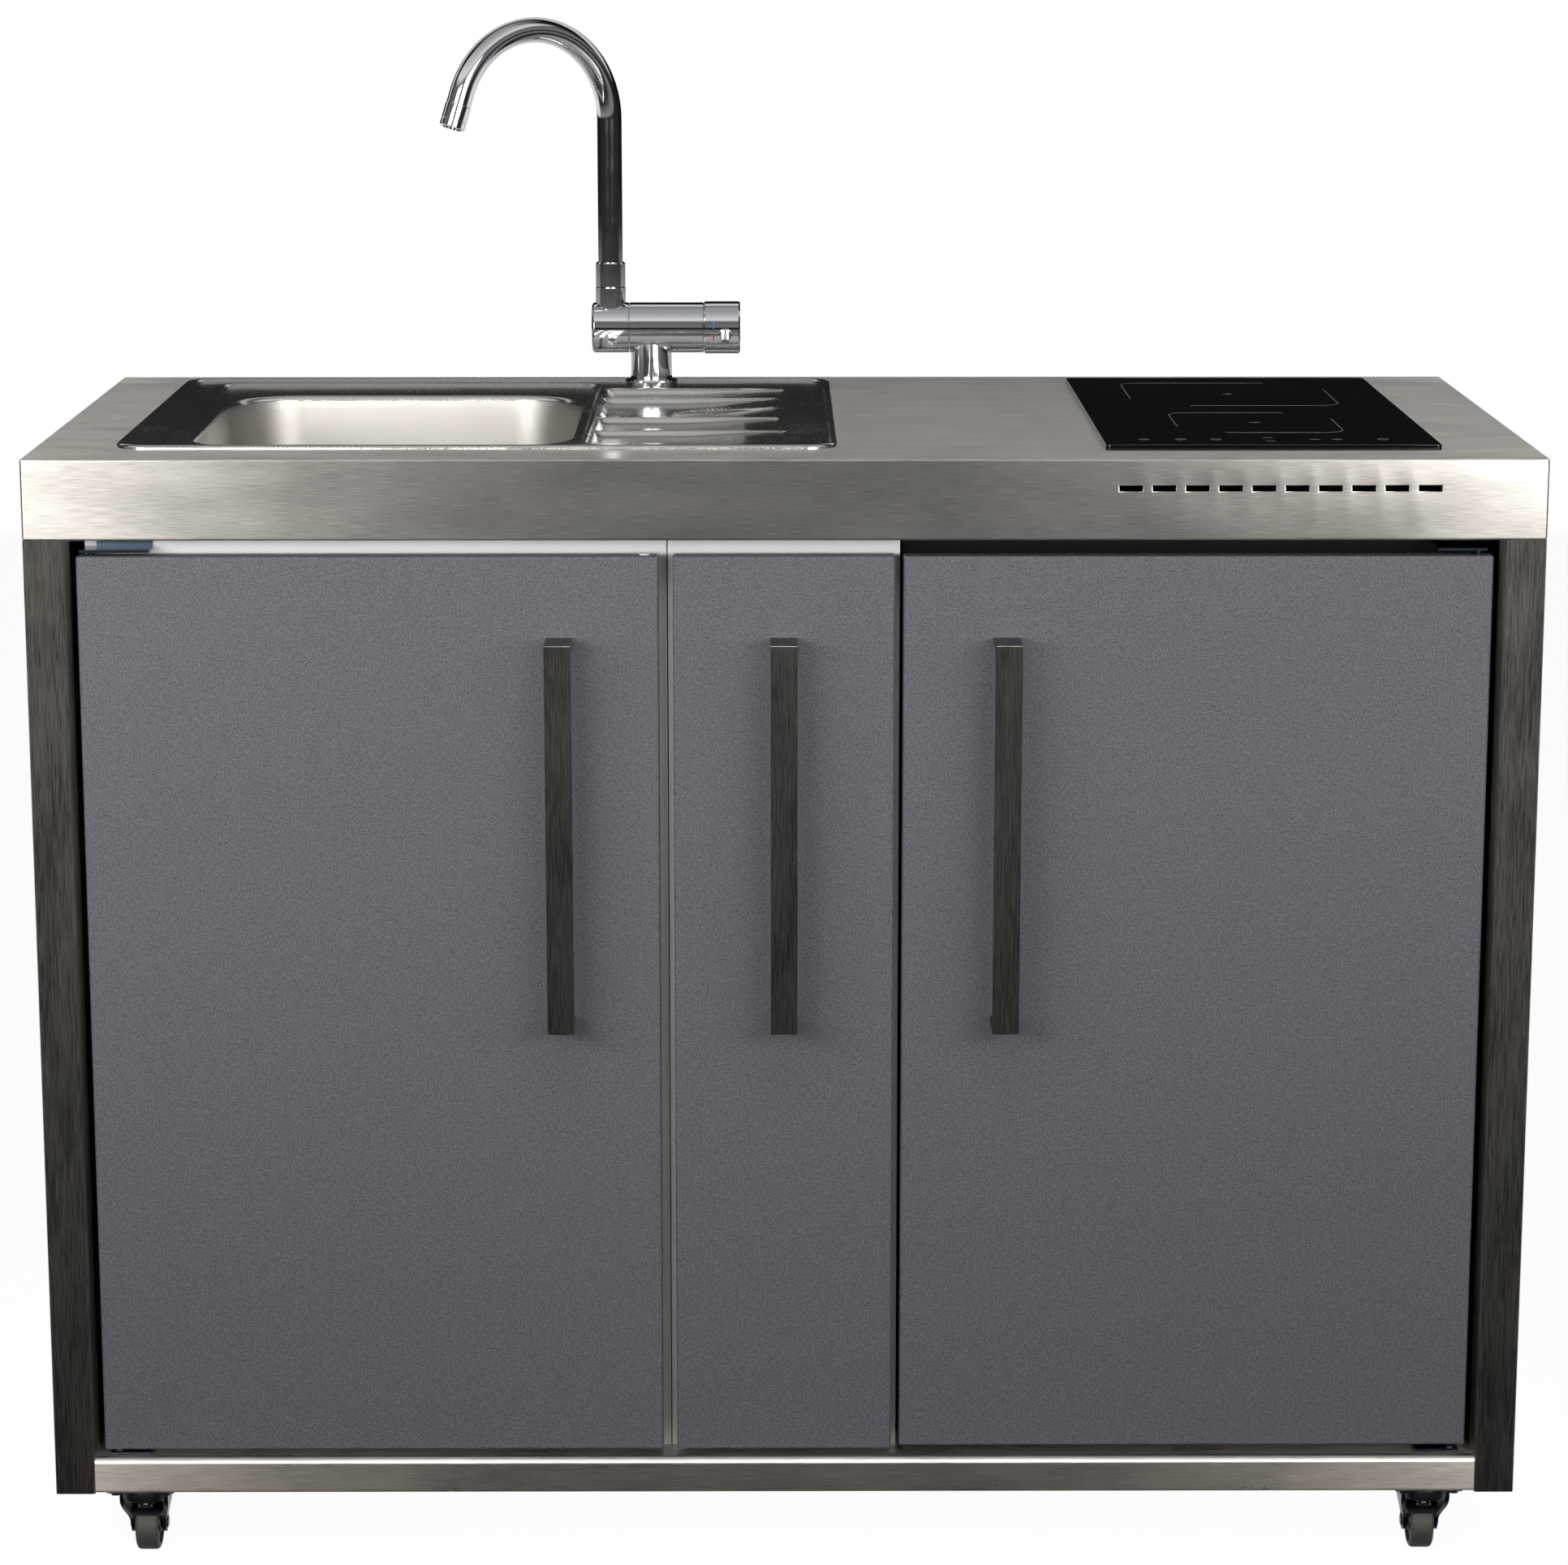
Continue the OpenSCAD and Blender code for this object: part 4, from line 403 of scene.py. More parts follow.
# The fork's cheeks rise from a round end at the axle, CHEEK_ROUND wide each way, and spread and
# lean back to the swivel head. A thin cover joins them over the wheel, between two angles up
# from the front.
CHEEK, CHEEK_GAP, CHEEK_ROUND, ROUND_STEPS, CHEEK_STEPS = 4, 1.5, 9, 6, 9
CHEEK_AHEAD, CHEEK_BEHIND, HEAD_DROP, HEAD_LIP = 12, 18, 8, 0.8
COVER, COVER_GAP, COVER_FROM, COVER_TO = 1.4, 0.8, 32, 98
TREAD, HUB_SINK, AXLE_BORE = 5, 2.5, 5.3
for spot in ("front_left", "front_right", "rear_left", "rear_right"):
    fork_low, fork_high = corners("caster_fork_" + spot)
    wheel_low, wheel_high = corners("caster_wheel_" + spot)
    axle = (wheel_low + wheel_high)/2
    half = (wheel_high.x - wheel_low.x)/2
    wheel_r = (wheel_high.z - wheel_low.z)/2
    head_r = (fork_high.x - fork_low.x)/2
    head_y = fork_low.y + head_r
    foot_in = half + CHEEK_GAP
    head_foot = fork_high.z - HEAD_DROP
    bm = bmesh.new()
    turned(bm, [(0, 5.5), (0, 15), (-1.4, 15.4), (-1.8, 17), (-1.8, head_r - 1.5),
                (-2.4, head_r - 0.4), (-3.4, head_r), (-11, head_r), (-12.4, head_r - 0.6),
                (-13, head_r - 2), (-13, 5.5), (0, 5.5)], (axle.x, head_y, fork_high.z),
           (0, 0, 1), 64)
    rows = []
    for step in range(ROUND_STEPS + 1):
        turn = math.radians(90*step/ROUND_STEPS)
        across = max(CHEEK_ROUND*math.sin(turn), 0.6)
        rows.append((axle.z - CHEEK_ROUND*math.cos(turn), axle.y - across, axle.y + across, 0))
    for step in range(1, CHEEK_STEPS + 1):
        up = step/CHEEK_STEPS
        spread, lean = smooth(up*1.2), smooth(up*1.1)
        rows.append((axle.z + (head_foot - axle.z)*up,
                     axle.y - CHEEK_ROUND + (head_y - CHEEK_AHEAD - axle.y + CHEEK_ROUND)*lean,
                     axle.y + CHEEK_ROUND + (head_y + CHEEK_BEHIND - axle.y - CHEEK_ROUND)*lean,
                     (head_r - HEAD_LIP - CHEEK - foot_in)*spread))
    for way in (-1, 1):
        loops = []
        for z, front, back, out in rows:
            near, far = axle.x + way*(foot_in + out), axle.x + way*(foot_in + out + CHEEK)
            verts = [bm.verts.new((x, y, z)) for x, y in
                     ((near, front), (far, front), (far, back), (near, back))]
            loops.append([bm.edges.new(pair) for pair in zip(verts, verts[1:] + verts[:1])])
        for lower, upper in zip(loops, loops[1:]):
            bmesh.ops.bridge_loops(bm, edges=lower + upper)
        bmesh.ops.edgeloop_fill(bm, edges=loops[0] + loops[-1])
        turned(bm, [(-0.5, 0), (-0.5, 5.6), (0.6, 5.6), (1.2, 5.0), (1.5, 4), (1.5, 0)],
               (axle.x + way*(foot_in + CHEEK), axle.y, axle.z), (way, 0, 0), 24)
    start = math.radians(COVER_FROM)
    edge_x = foot_in + CHEEK/2
    inner, outer = wheel_r + COVER_GAP, wheel_r + COVER_GAP + COVER
    ring = [bm.verts.new((axle.x + x, axle.y - r*math.cos(start), axle.z + r*math.sin(start)))
            for x, r in ((-edge_x, inner), (edge_x, inner), (edge_x, outer), (-edge_x, outer))]
    band = bm.faces.new(ring)
    bmesh.ops.spin(bm, geom=[band], cent=axle, axis=(1, 0, 0),
                   angle=math.radians(COVER_FROM - COVER_TO), steps=12)
    piece("caster_housing_" + spot, bm, "fork_" + spot, "black_paint", fork_coat,
          "caster_fork_" + spot)
    bm = bmesh.new()
    turned(bm, [(-half, wheel_r - TREAD), (-half, wheel_r - 2.8), (-half + 0.9, wheel_r - 1.1),
                (-half + 3, wheel_r), (half - 3, wheel_r), (half - 0.9, wheel_r - 1.1),
                (half, wheel_r - 2.8), (half, wheel_r - TREAD)], axle, (1, 0, 0), 56)
    hub_from = len(bm.faces)
    turned(bm, [(-half, wheel_r - TREAD), (-half + HUB_SINK, wheel_r - TREAD - 1),
                (-half + HUB_SINK, 10), (-half, 9), (-half, AXLE_BORE), (half, AXLE_BORE),
                (half, 9), (half - HUB_SINK, 10), (half - HUB_SINK, wheel_r - TREAD - 1),
                (half, wheel_r - TREAD)], axle, (1, 0, 0), 56)
    bm.faces.ensure_lookup_table()
    for face in bm.faces[hub_from:]:
        face.material_index = 1
    piece("caster_tyre_" + spot, bm, "wheel_" + spot, "wheel_rubber",
          [tread_rubber, hub_plastic], "caster_wheel_" + spot)

# Legs: four square stainless tubes, 35 mm wide, welded between the tray and the worktop. Their
# grain runs upright, so it draws the dark sides of the room across them, and their stainless is
# painted darker than the worktop's: painted shade.
LEG_BEND, LEG_WALL = 2.0, 1.5
leg_steel_painted_shade = brushed_steel("upright_grained_stainless_painted_shade", "#9F9A94", 2, 0.346, contrast=0.5)
for spot in ("front_left", "front_right", "rear_left", "rear_right"):
    bm = bmesh.new()
    block(bm, *corners("leg_" + spot))
    soften(bm, edges_of(bm.faces, 2), LEG_BEND)
    ends = facing(bm, (0, 0, 1)) + facing(bm, (0, 0, -1))
    bmesh.ops.delete(bm, geom=ends, context="FACES_ONLY")
    piece("leg_tube_" + spot, bm, "frame", "dark_brushed_stainless", leg_steel_painted_shade,
          "leg_" + spot, sheet=LEG_WALL)

# Side panels and back panel: satin stainless sheet set between the legs, the sides with their
# lower edge turned in. The back has vent slots behind the refrigerator and holes for the pipes.
panel_steel = brushed_steel("satin_panel_stainless", "#A9A7A2", 2, contrast=0.08)
coat_node("side_panels", panel_steel)
coat_node("back_panel", panel_steel)

# Cabinets: two white powder-coated steel boxes on the tray, the wide one for the sink with a
# shelf, the narrow one for the pull-out with its runners. Their front edges show above the doors.


# Powder coat is paint dust baked on sheet metal: an even colour with a fine pebbled skin that
# scatters its sheen. Real pebbles are 0.3 mm wide; they are drawn 1.4 mm wide or more.
def powder_coat(name, code, roughness, grain, rise_level, contrast, gloss=0.5):
    made, tree, shader, where = material(name)
    pebbles = add(tree, "ShaderNodeTexNoise", {"Vector": where, "Scale": 1/grain,
                  "Detail": 3.0, "Roughness": 0.6})
    vary_colour(tree, shader, code, pebbles.outputs["Fac"], 1 - contrast, 1 + contrast)
    vary_gloss(tree, shader, pebbles.outputs["Fac"], roughness - 0.05, roughness + 0.08)
    rise = add(tree, "ShaderNodeBump", {"Height": pebbles.outputs["Fac"],
               "Strength": rise_level, "Distance": 0.0003})
    tree.links.new(rise.outputs[0], shader.inputs["Normal"])
    shader.inputs["IOR"].default_value = 1.5
    shader.inputs["Specular IOR Level"].default_value = gloss
    return made


white_coat = powder_coat("white_powder_coat", "#EFEFED", 0.35, 0.003, 0.05, 0.01)
grey_coat = powder_coat("grey_powder_coat", "#C6C7C9", 0.4, 0.003, 0.05, 0.015)
for node in ("sink_cabinet", "cabinet_shelf", "pullout_cabinet"):
    coat_node(node, white_coat)
coat_node("pullout_rails", zinc)

# Refrigerator: a black-coated insulated steel cabinet with a white moulded liner, two glass
# shelves and a thermostat; its compressor and condenser are at the back.
SCREW_XS, SCREW_IN = (153, 358), 9
black_coat = powder_coat("black_satin_enamel", "#0E0E10", 0.6, 0.002, 0.05, 0.03, 0.2)
white_plastic = moulded_plastic("white_polystyrene", "#ECEDEE", 0.3, 0.002)
knob_plastic = moulded_plastic("grey_abs", "#C9CBCE", 0.3, 0.002)
coat_node("fridge_cabinet", black_coat)
# Two screw heads on the cabinet's top show in the gap over its door
fridge_low, fridge_high = corners("fridge_cabinet")
bm = bmesh.new()
for screw_x in SCREW_XS:
    turned(bm, [(-1, 0), (-1, 3.6), (0.4, 3.6), (1.6, 2.6), (2.0, 1.2), (2.0, 0)],
           (fridge_low.x + screw_x, fridge_low.y + SCREW_IN, fridge_high.z), (0, 0, 1), 20)
piece("fridge_top_screws", bm, "frame", "zinc", zinc)
coat_node("compressor", black_coat)
coat_node("condenser_coil", black_coat)
coat_node("fridge_liner", white_plastic)
coat_node("thermostat_box", white_plastic)
coat_node("thermostat_knob", knob_plastic)
# Toughened glass: clear and smooth with a faint cool cast, wiped in wide smears
shelf_glass, tree, shader, where = material("toughened_glass")
smears = add(tree, "ShaderNodeTexNoise", {"Vector": where, "Scale": 1/0.05})
vary_gloss(tree, shader, smears.outputs["Fac"], 0.0, 0.06)
shader.inputs["Base Color"].default_value = colour("#F1F8F6")
shader.inputs["Transmission Weight"].default_value = 0.9
shader.inputs["IOR"].default_value = 1.5
coat_node("fridge_shelves", shelf_glass)
coat_node("fridge_door_racks", shelf_glass)

# Worktop: one sheet of 2 mm stainless folded down all round into a deep fascia, with a turned-in
# return. Its grain runs along the unit, and ten cooling slots with a pressed lip are punched
# under the hob. The sink's and the hob's edges rest on the rims of their two cut-outs.
FASCIA_RETURN, FOLD, TOP_WALL = 30, 2.2, 2
SLOTS, SLOT_W, SLOT_H, SLOT_PITCH, SLOT_DROP = 10, 21.6, 6.8, 28.3, 25.5
SLOT_LIP, SLOT_SINK, SINK_BEARING, HOB_BEARING = 0.7, 0.5, 9, 10
top_low, top_high = corners("worktop")
sink_low, sink_high = corners("sink")
hob_low, hob_high = corners("hob_glass")
top = top_high.z


def cut(bm, faces, axis, at):
    """Cuts some faces by a plane across an axis."""
    geom = faces + edges_of(faces) + list({v for face in faces for v in face.verts})
    point = AXES[axis]*at
    bmesh.ops.bisect_plane(bm, geom=geom, dist=0.0001, plane_co=point, plane_no=AXES[axis])


def window(bm, direction, spans):
    """Scores a rectangle into the faces that look in a direction; returns what is inside."""
    for axis, (near, far) in spans.items():
        for at in (near, far):
            cut(bm, facing(bm, direction), axis, at)
    inside = []
    for face in facing(bm, direction):
        middle = face.calc_center_median()
        if all(near < middle[axis] < far for axis, (near, far) in spans.items()):
            inside.append(face)
    return inside


bm = bmesh.new()
block(bm, top_low, top_high)
soften(bm, edges_of(bm.faces), FOLD)
bmesh.ops.inset_region(bm, faces=facing(bm, (0, 0, -1)), thickness=FASCIA_RETURN,
                       use_boundary=True, use_even_offset=True)
below = max(facing(bm, (0, 0, -1)), key=lambda face: face.calc_area())
bmesh.ops.delete(bm, geom=[below], context="FACES")
for low, high, edge in ((sink_low, sink_high, SINK_BEARING),
                        (hob_low, hob_high, HOB_BEARING)):
    hole = window(bm, (0, 0, 1), {0: (low.x + edge, high.x - edge),
                                  1: (low.y + edge, high.y - edge)})
    bmesh.ops.delete(bm, geom=hole, context="FACES")
hob_x = (hob_low.x + hob_high.x)/2
slot_z = top - SLOT_DROP
for i in range(SLOTS):
    slot_x = hob_x + (i - (SLOTS - 1)/2)*SLOT_PITCH
    hole = window(bm, (0, -1, 0), {0: (slot_x - SLOT_W/2, slot_x + SLOT_W/2),
                                   2: (slot_z - SLOT_H/2, slot_z + SLOT_H/2)})
    bmesh.ops.inset_region(bm, faces=hole, thickness=SLOT_LIP, depth=-SLOT_SINK,
                           use_boundary=True, use_even_offset=True)
    bmesh.ops.delete(bm, geom=hole, context="FACES")
piece("worktop_sheet", bm, "frame", "brushed_stainless", worktop_steel, "worktop",
      sheet=TOP_WALL, sharp=50)

# Sink: pressed from one stainless sheet, with a rolled rim on the worktop, a deep satin bowl,
# a polished ledge round it and a drainer with a fan of ribs and a small overflow.
ARC_STEPS = 10


def rounded_loop(bm, xs, ys, z, radius):
    """Adds a rectangle with round corners as a closed loop, and returns its edges."""
    left, right, front, back = xs[0] + radius, xs[1] - radius, ys[0] + radius, ys[1] - radius
    verts = []
    for cx, cy, turn in ((right, back, 0), (left, back, 90), (left, front, 180),
                         (right, front, 270)):
        for step in range(ARC_STEPS + 1):
            angle = math.radians(turn + 90*step/ARC_STEPS)
            verts.append(bm.verts.new((cx + radius*math.cos(angle),
                                       cy + radius*math.sin(angle), z)))
    return [bm.edges.new(pair) for pair in zip(verts, verts[1:] + verts[:1])]


def walls(bm, xs, ys, radius, profile, shrink=1.0):
    """Bridges loops drawn in by each step of a profile; returns the first and last loop."""
    loops = [rounded_loop(bm, (xs[0] + inward, xs[1] - inward), (ys[0] + inward, ys[1] - inward),
                          z, max(radius - inward*shrink, 2)) for inward, z in profile]
    for outside, inside in zip(loops, loops[1:]):
        bmesh.ops.bridge_loops(bm, edges=outside + inside)
    return loops[0], loops[-1]


DECK_UP, STEP_DROP, BOWL_DEPTH = 1, 3, 150
RIM_R, STEP_R, BOWL_R = 28, 22, 68
BOWL_X, BOWL_Y, BOWL_W, BOWL_L = 53, 35, 342, 385
STEP_LEFT, STEP_RIGHT, STEP_FRONT, STEP_BACK = 20, 10, 10, 74
WASTE_R, WASTE_DROP = 44, 150.5
deck = top + DECK_UP
rim_top = sink_high.z
bowl_low = Vector((sink_low.x + BOWL_X, sink_low.y + BOWL_Y, 0))
bowl_high = bowl_low + Vector((BOWL_W, BOWL_L, 0))
bm = bmesh.new()
_, rim_in = walls(bm, (sink_low.x, sink_high.x), (sink_low.y, sink_high.y), RIM_R, [
    (0, top), (0.2, top + 1.6), (0.9, top + 3.0), (2.2, rim_top - 0.2), (3.6, rim_top),
    (5.0, rim_top - 0.5), (6.4, deck + 1.3), (7.4, deck + 0.3), (8.6, deck)])
step_top, step_in = walls(bm, (bowl_low.x - STEP_LEFT, bowl_high.x + STEP_RIGHT),
                          (bowl_low.y - STEP_FRONT, bowl_high.y + STEP_BACK), STEP_R, [
    (0, deck), (0.8, deck - 0.2), (2.2, deck - 1.4), (3.6, deck - 2.7), (4.6, deck - STEP_DROP)])
bowl_top, bowl_end = walls(bm, (bowl_low.x, bowl_high.x), (bowl_low.y, bowl_high.y), BOWL_R, [
    (0, deck - STEP_DROP), (1.6, deck - 3.5), (3.2, deck - 5), (4.4, deck - 8), (6.0, deck - 16),
    (10, deck - 60), (14, deck - 112), (16, deck - 124), (20, deck - 135), (26, deck - 143),
    (34, deck - 148), (44, deck - 149.6), (60, deck - BOWL_DEPTH)], shrink=0.5)
waste = (bowl_low + bowl_high)/2
waste_ring = bmesh.ops.create_circle(bm, segments=48, radius=WASTE_R, matrix=Matrix.Translation(
    (waste.x, waste.y, deck - WASTE_DROP)))
waste_edge = list({e for v in waste_ring["verts"] for e in v.link_edges})
bmesh.ops.triangle_fill(bm, edges=bowl_end + waste_edge, use_beauty=True)
bmesh.ops.triangle_fill(bm, edges=step_in + bowl_top, use_beauty=True)

# The drainer starts as a fine grid right of the bowl, and its ribs are then pressed into it
DRAIN_GAP, DRAIN_W, DRAIN_L, DRAIN_DEPTH = 14, 178, 420, 5.5
CELL_X, CELL_Y = 3.5, 1.05
drain_x0 = bowl_high.x + DRAIN_GAP
drain_y0 = bowl_low.y
drain_at = Matrix.Translation((drain_x0 + DRAIN_W/2, drain_y0 + DRAIN_L/2, deck))
grid = bmesh.ops.create_grid(bm, x_segments=int(DRAIN_W/CELL_X), y_segments=int(DRAIN_L/CELL_Y),
                             size=0.5, matrix=drain_at @ Matrix.Diagonal((DRAIN_W, DRAIN_L, 1, 1)))
# The ribs' crests: start and end in the drainer, from its front left corner
RIBS = (((4, 92), (170, 92)), ((4, 186), (164, 186)), ((70, 222), (164, 268)),
        ((72, 226), (164, 330)), ((4, 336), (164, 336)), ((4, 406), (172, 406)))
RIB_HALF, EDGE_W, FALL_W = 4.5, 7, 110
OVERFLOW_X, OVERFLOW_Y, TROUGH_HALF, TROUGH_DEPTH = 64, 219, 9, 1.6


def drainer_height(x, y):
    """The drainer's height over the ledge, at a place from its front left corner."""
    edge = min(x, DRAIN_W - x, y, DRAIN_L - y)
    sunk = smooth((edge - 1)/EDGE_W)*DRAIN_DEPTH
    # It falls towards the bowl, where the trough of the overflow starts
    sunk *= 0.25 + 0.75*smooth((DRAIN_W - x)/FALL_W)
    trough = smooth(1.6 - abs(y - OVERFLOW_Y)/TROUGH_HALF)
    trough *= smooth((x - 3)/5)*smooth((OVERFLOW_X - 4 - x)/5)
    crest = 0.0
    for (ax, ay), (bx, by) in RIBS:
        along = ((x - ax)*(bx - ax) + (y - ay)*(by - ay))/((bx - ax)**2 + (by - ay)**2)
        near = min(max(along, 0.0), 1.0)
        gap = math.hypot(x - ax - near*(bx - ax), y - ay - near*(by - ay))
        # A rib narrows to half its width at its far end
        half = RIB_HALF*(1 - 0.5*smooth((near - 0.4)/0.6))
        crest = max(crest, smooth(1 - gap/half))
    return -sunk*(1 - crest) - TROUGH_DEPTH*trough


for vert in grid["verts"]:
    x, y = vert.co.x - drain_x0, vert.co.y - drain_y0
    vert.co.z = deck + drainer_height(x, y)
grid_edge = [e for e in {e for v in grid["verts"] for e in v.link_edges} if e.is_boundary]
bmesh.ops.triangle_fill(bm, edges=rim_in + step_top + grid_edge, use_beauty=True)
# The satin finish starts below the bowl's rounded lip
SATIN_DROP = 7
for face in bm.faces:
    if face.calc_center_median().z < deck - SATIN_DROP:
        face.material_index = 1
bmesh.ops.recalc_face_normals(bm, faces=bm.faces)
if sum(face.normal.z*face.calc_area() for face in bm.faces) < 0:
    bmesh.ops.reverse_faces(bm, faces=bm.faces)


# Pressed stainless sheet: polished, it mirrors the room a little blurred; satin, it only glows.
# Its fine marks are under 0.5 mm wide and are drawn 1.5 mm wide or more so that they show.
def pressed_steel(name, code, roughness, grit, contrast, stains=0.25):
    made, tree, shader, where = material(name)
    fine = add(tree, "ShaderNodeTexNoise", {"Vector": where, "Scale": 1/grit, "Detail": 2.0})
    wide = add(tree, "ShaderNodeTexNoise", {"Vector": where, "Scale": 1/0.08, "Detail": 1.0})
    mixed = add(tree, "ShaderNodeMix", {"Factor": 0.5, "A": fine.outputs["Fac"],
                "B": wide.outputs["Fac"]})
    vary_colour(tree, shader, code, mixed.outputs[0], 1 - contrast, 1 + contrast)
    vary_gloss(tree, shader, mixed.outputs[0], roughness*(1 - stains), roughness*(1 + stains),
               (0.35, 0.65))
    # Dried water and wiping leave a faint pale film in patches
    film = add(tree, "ShaderNodeMapRange", {"Value": wide.outputs["Fac"], "From Min": 0.35,
               "From Max": 0.65, "To Min": 0.91, "To Max": 0.985})
    tree.links.new(film.outputs[0], shader.inputs["Metallic"])
    return made


polished_steel = pressed_steel("polished_pressed_stainless", "#CFCCC7", 0.2, 0.002, 0.05, 0.5)
satin_steel = pressed_steel("satin_pressed_stainless", "#B8B5B0", 0.46, 0.0015, 0.04)
piece("sink_pressing", bm, "frame", "sink_steel", [polished_steel, satin_steel], "sink",
      sharp=60, keep_normals=True, sheet=1)
# The overflow's riveted cap at the end of the drainer's trough
bm = bmesh.new()
turned(bm, [(-1.5, 5), (0, 5), (1.2, 4.4), (2.0, 3), (2.4, 0)],
       (drain_x0 + OVERFLOW_X, drain_y0 + OVERFLOW_Y, deck - DRAIN_DEPTH), (0, 0, 1), 24)
piece("overflow_cap", bm, "frame", "sink_steel", polished_steel)
coat_node("sink_waste", polished_steel)
coat_node("strainer_basket", polished_steel)
coat_node("bottle_trap", white_plastic)

# Tap: chrome-plated brass. A foot and riser carry a level barrel; on its left end turns the
# knuckle that lets the swan-neck spout fold down, on its right end the control ring with its pin.

# Chrome plating: a thin bright mirror over polished brass, with a faint haze from wiping
chrome, tree, shader, where = material("chrome_plating")
haze = add(tree, "ShaderNodeTexNoise", {"Vector": where, "Scale": 1/0.012, "Detail": 3.0})
vary_gloss(tree, shader, haze.outputs["Fac"], 0.024, 0.096)
shader.inputs["Base Color"].default_value = colour("#DADCE0")
shader.inputs["Metallic"].default_value = 1.0
body_low, body_high = corners("tap_body")
tap_y = (body_low.y + body_high.y)/2
AXIS_UP, BARREL_R, BARREL_LEN, RISER_X, RISER_R = 56.5, 24.2, 72, 21, 20.2
STUB_R, STUB_LEN, SHANK_R, SHANK_LEN, RUNNING_GAP = 15, 29, 15.9, 49, 0.3
foot_r = (body_high.y - body_low.y)/2
knuckle_low, knuckle_high = corners("tap_knuckle")
control_low, control_high = corners("tap_control")
axis_z = top + AXIS_UP
barrel_x0 = knuckle_high.x + RUNNING_GAP
tap_x = barrel_x0 + RISER_X
barrel = (barrel_x0, tap_y, axis_z)
bm = bmesh.new()
turned(bm, [(0, 0), (0, BARREL_R - 0.8), (0.8, BARREL_R), (BARREL_LEN - 0.8, BARREL_R),
            (BARREL_LEN, BARREL_R - 0.8), (BARREL_LEN, STUB_R), (BARREL_LEN + 26, STUB_R),
            (BARREL_LEN + 26, 0)], barrel, (1, 0, 0), 96)
turned(bm, [(0, 0), (0, STUB_R), (STUB_LEN, STUB_R), (STUB_LEN, 0)], barrel, (-1, 0, 0), 64)
turned(bm, [(0, SHANK_R), (0, foot_r - 0.6), (0.6, foot_r), (4.6, foot_r), (5.3, foot_r - 0.7),
            (5.4, RISER_R + 0.9), (6.6, RISER_R + 0.1), (10, RISER_R - 0.4),
            (AXIS_UP - 12, RISER_R - 0.6), (AXIS_UP - 8, RISER_R - 0.6)],
       (tap_x, tap_y, deck), (0, 0, 1), 72)
turned(bm, [(0, SHANK_R), (-SHANK_LEN, SHANK_R), (-SHANK_LEN, 0)], (tap_x, tap_y, deck),
       (0, 0, 1), 32)
piece("tap_barrel", bm, "frame", "tap_chrome", chrome, "tap_body")

# The knuckle turns on the barrel's stub; heights on the collar and the spout are over the worktop
COLLAR_R, COLLAR_JOINT, COLLAR_TOP, SPOUT_X = 14.5, 95.6, 119.7, 18
spout_x = barrel_x0 - SPOUT_X
knuckle_len = knuckle_high.x - knuckle_low.x
bm = bmesh.new()
turned(bm, [(0, 0), (0, BARREL_R - 2.6), (0.7, BARREL_R - 1.1), (2.0, BARREL_R - 0.1),
            (2.6, BARREL_R), (knuckle_len - 0.7, BARREL_R), (knuckle_len, BARREL_R - 0.7),
            (knuckle_len, 15.1), (7, 15.1), (7, 0)],
       (knuckle_low.x, tap_y, axis_z), (1, 0, 0), 96)
collar_up = COLLAR_JOINT - AXIS_UP
turned(bm, [(14, COLLAR_R), (collar_up - 0.6, COLLAR_R), (collar_up, COLLAR_R - 0.6),
            (collar_up, 8.6)], (spout_x, tap_y, axis_z), (0, 0, 1), 64)
piece("tap_elbow", bm, "knuckle", "tap_chrome", chrome, "tap_knuckle")

# The swan neck is drawn tube: up from its collar, round a bend, and a short way on to its tip.
# It is made standing at the origin, and then turned by SPOUT_TURN and set on the knuckle.
TUBE_R, BEND_H, BEND_R, BEND, TUBE_END, SPOUT_TURN = 11.75, 256, 86, 160, 12, 216.5
bm = bmesh.new()
turned(bm, [(COLLAR_JOINT - 12, 8.4), (COLLAR_JOINT + 0.3, 8.4),
            (COLLAR_JOINT + 0.3, COLLAR_R - 0.9), (COLLAR_JOINT + 0.9, COLLAR_R - 0.3),
            (COLLAR_TOP - 1.2, COLLAR_R - 0.3), (COLLAR_TOP, COLLAR_R - 1.4),
            (COLLAR_TOP, TUBE_R - 0.1)], (0, 0, 0), (0, 0, 1), 64)
ring = bmesh.ops.create_circle(bm, segments=48, radius=TUBE_R,
                               matrix=Matrix.Translation((0, 0, COLLAR_TOP)))
loop = list({e for v in ring["verts"] for e in v.link_edges if len(e.link_faces) == 0})
grown = bmesh.ops.extrude_edge_only(bm, edges=loop)["geom"]
lifted = [g for g in grown if isinstance(g, bmesh.types.BMVert)]
bmesh.ops.translate(bm, vec=(0, 0, BEND_H - COLLAR_TOP), verts=lifted)
loop = [g for g in grown if isinstance(g, bmesh.types.BMEdge)
        and all(v in lifted for v in g.verts)]
bent = bmesh.ops.spin(bm, geom=lifted + loop, cent=(BEND_R, 0, BEND_H), axis=(0, 1, 0),
                      angle=math.radians(BEND), steps=64, use_merge=False)["geom_last"]
last_edges = [g for g in bent if isinstance(g, bmesh.types.BMEdge)]
tip_way = Matrix.Rotation(math.radians(BEND), 3, "Y") @ Vector((0, 0, 1))
grown = bmesh.ops.extrude_edge_only(bm, edges=last_edges)["geom"]
bmesh.ops.translate(bm, vec=tip_way*TUBE_END,
                    verts=[g for g in grown if isinstance(g, bmesh.types.BMVert)])
placed = (Matrix.Translation((spout_x, tap_y, top))
          @ Matrix.Rotation(math.radians(SPOUT_TURN), 4, "Z"))
bmesh.ops.transform(bm, matrix=placed, verts=bm.verts)
piece("tap_swan_neck", bm, "spout", "tap_chrome", chrome, "tap_spout")

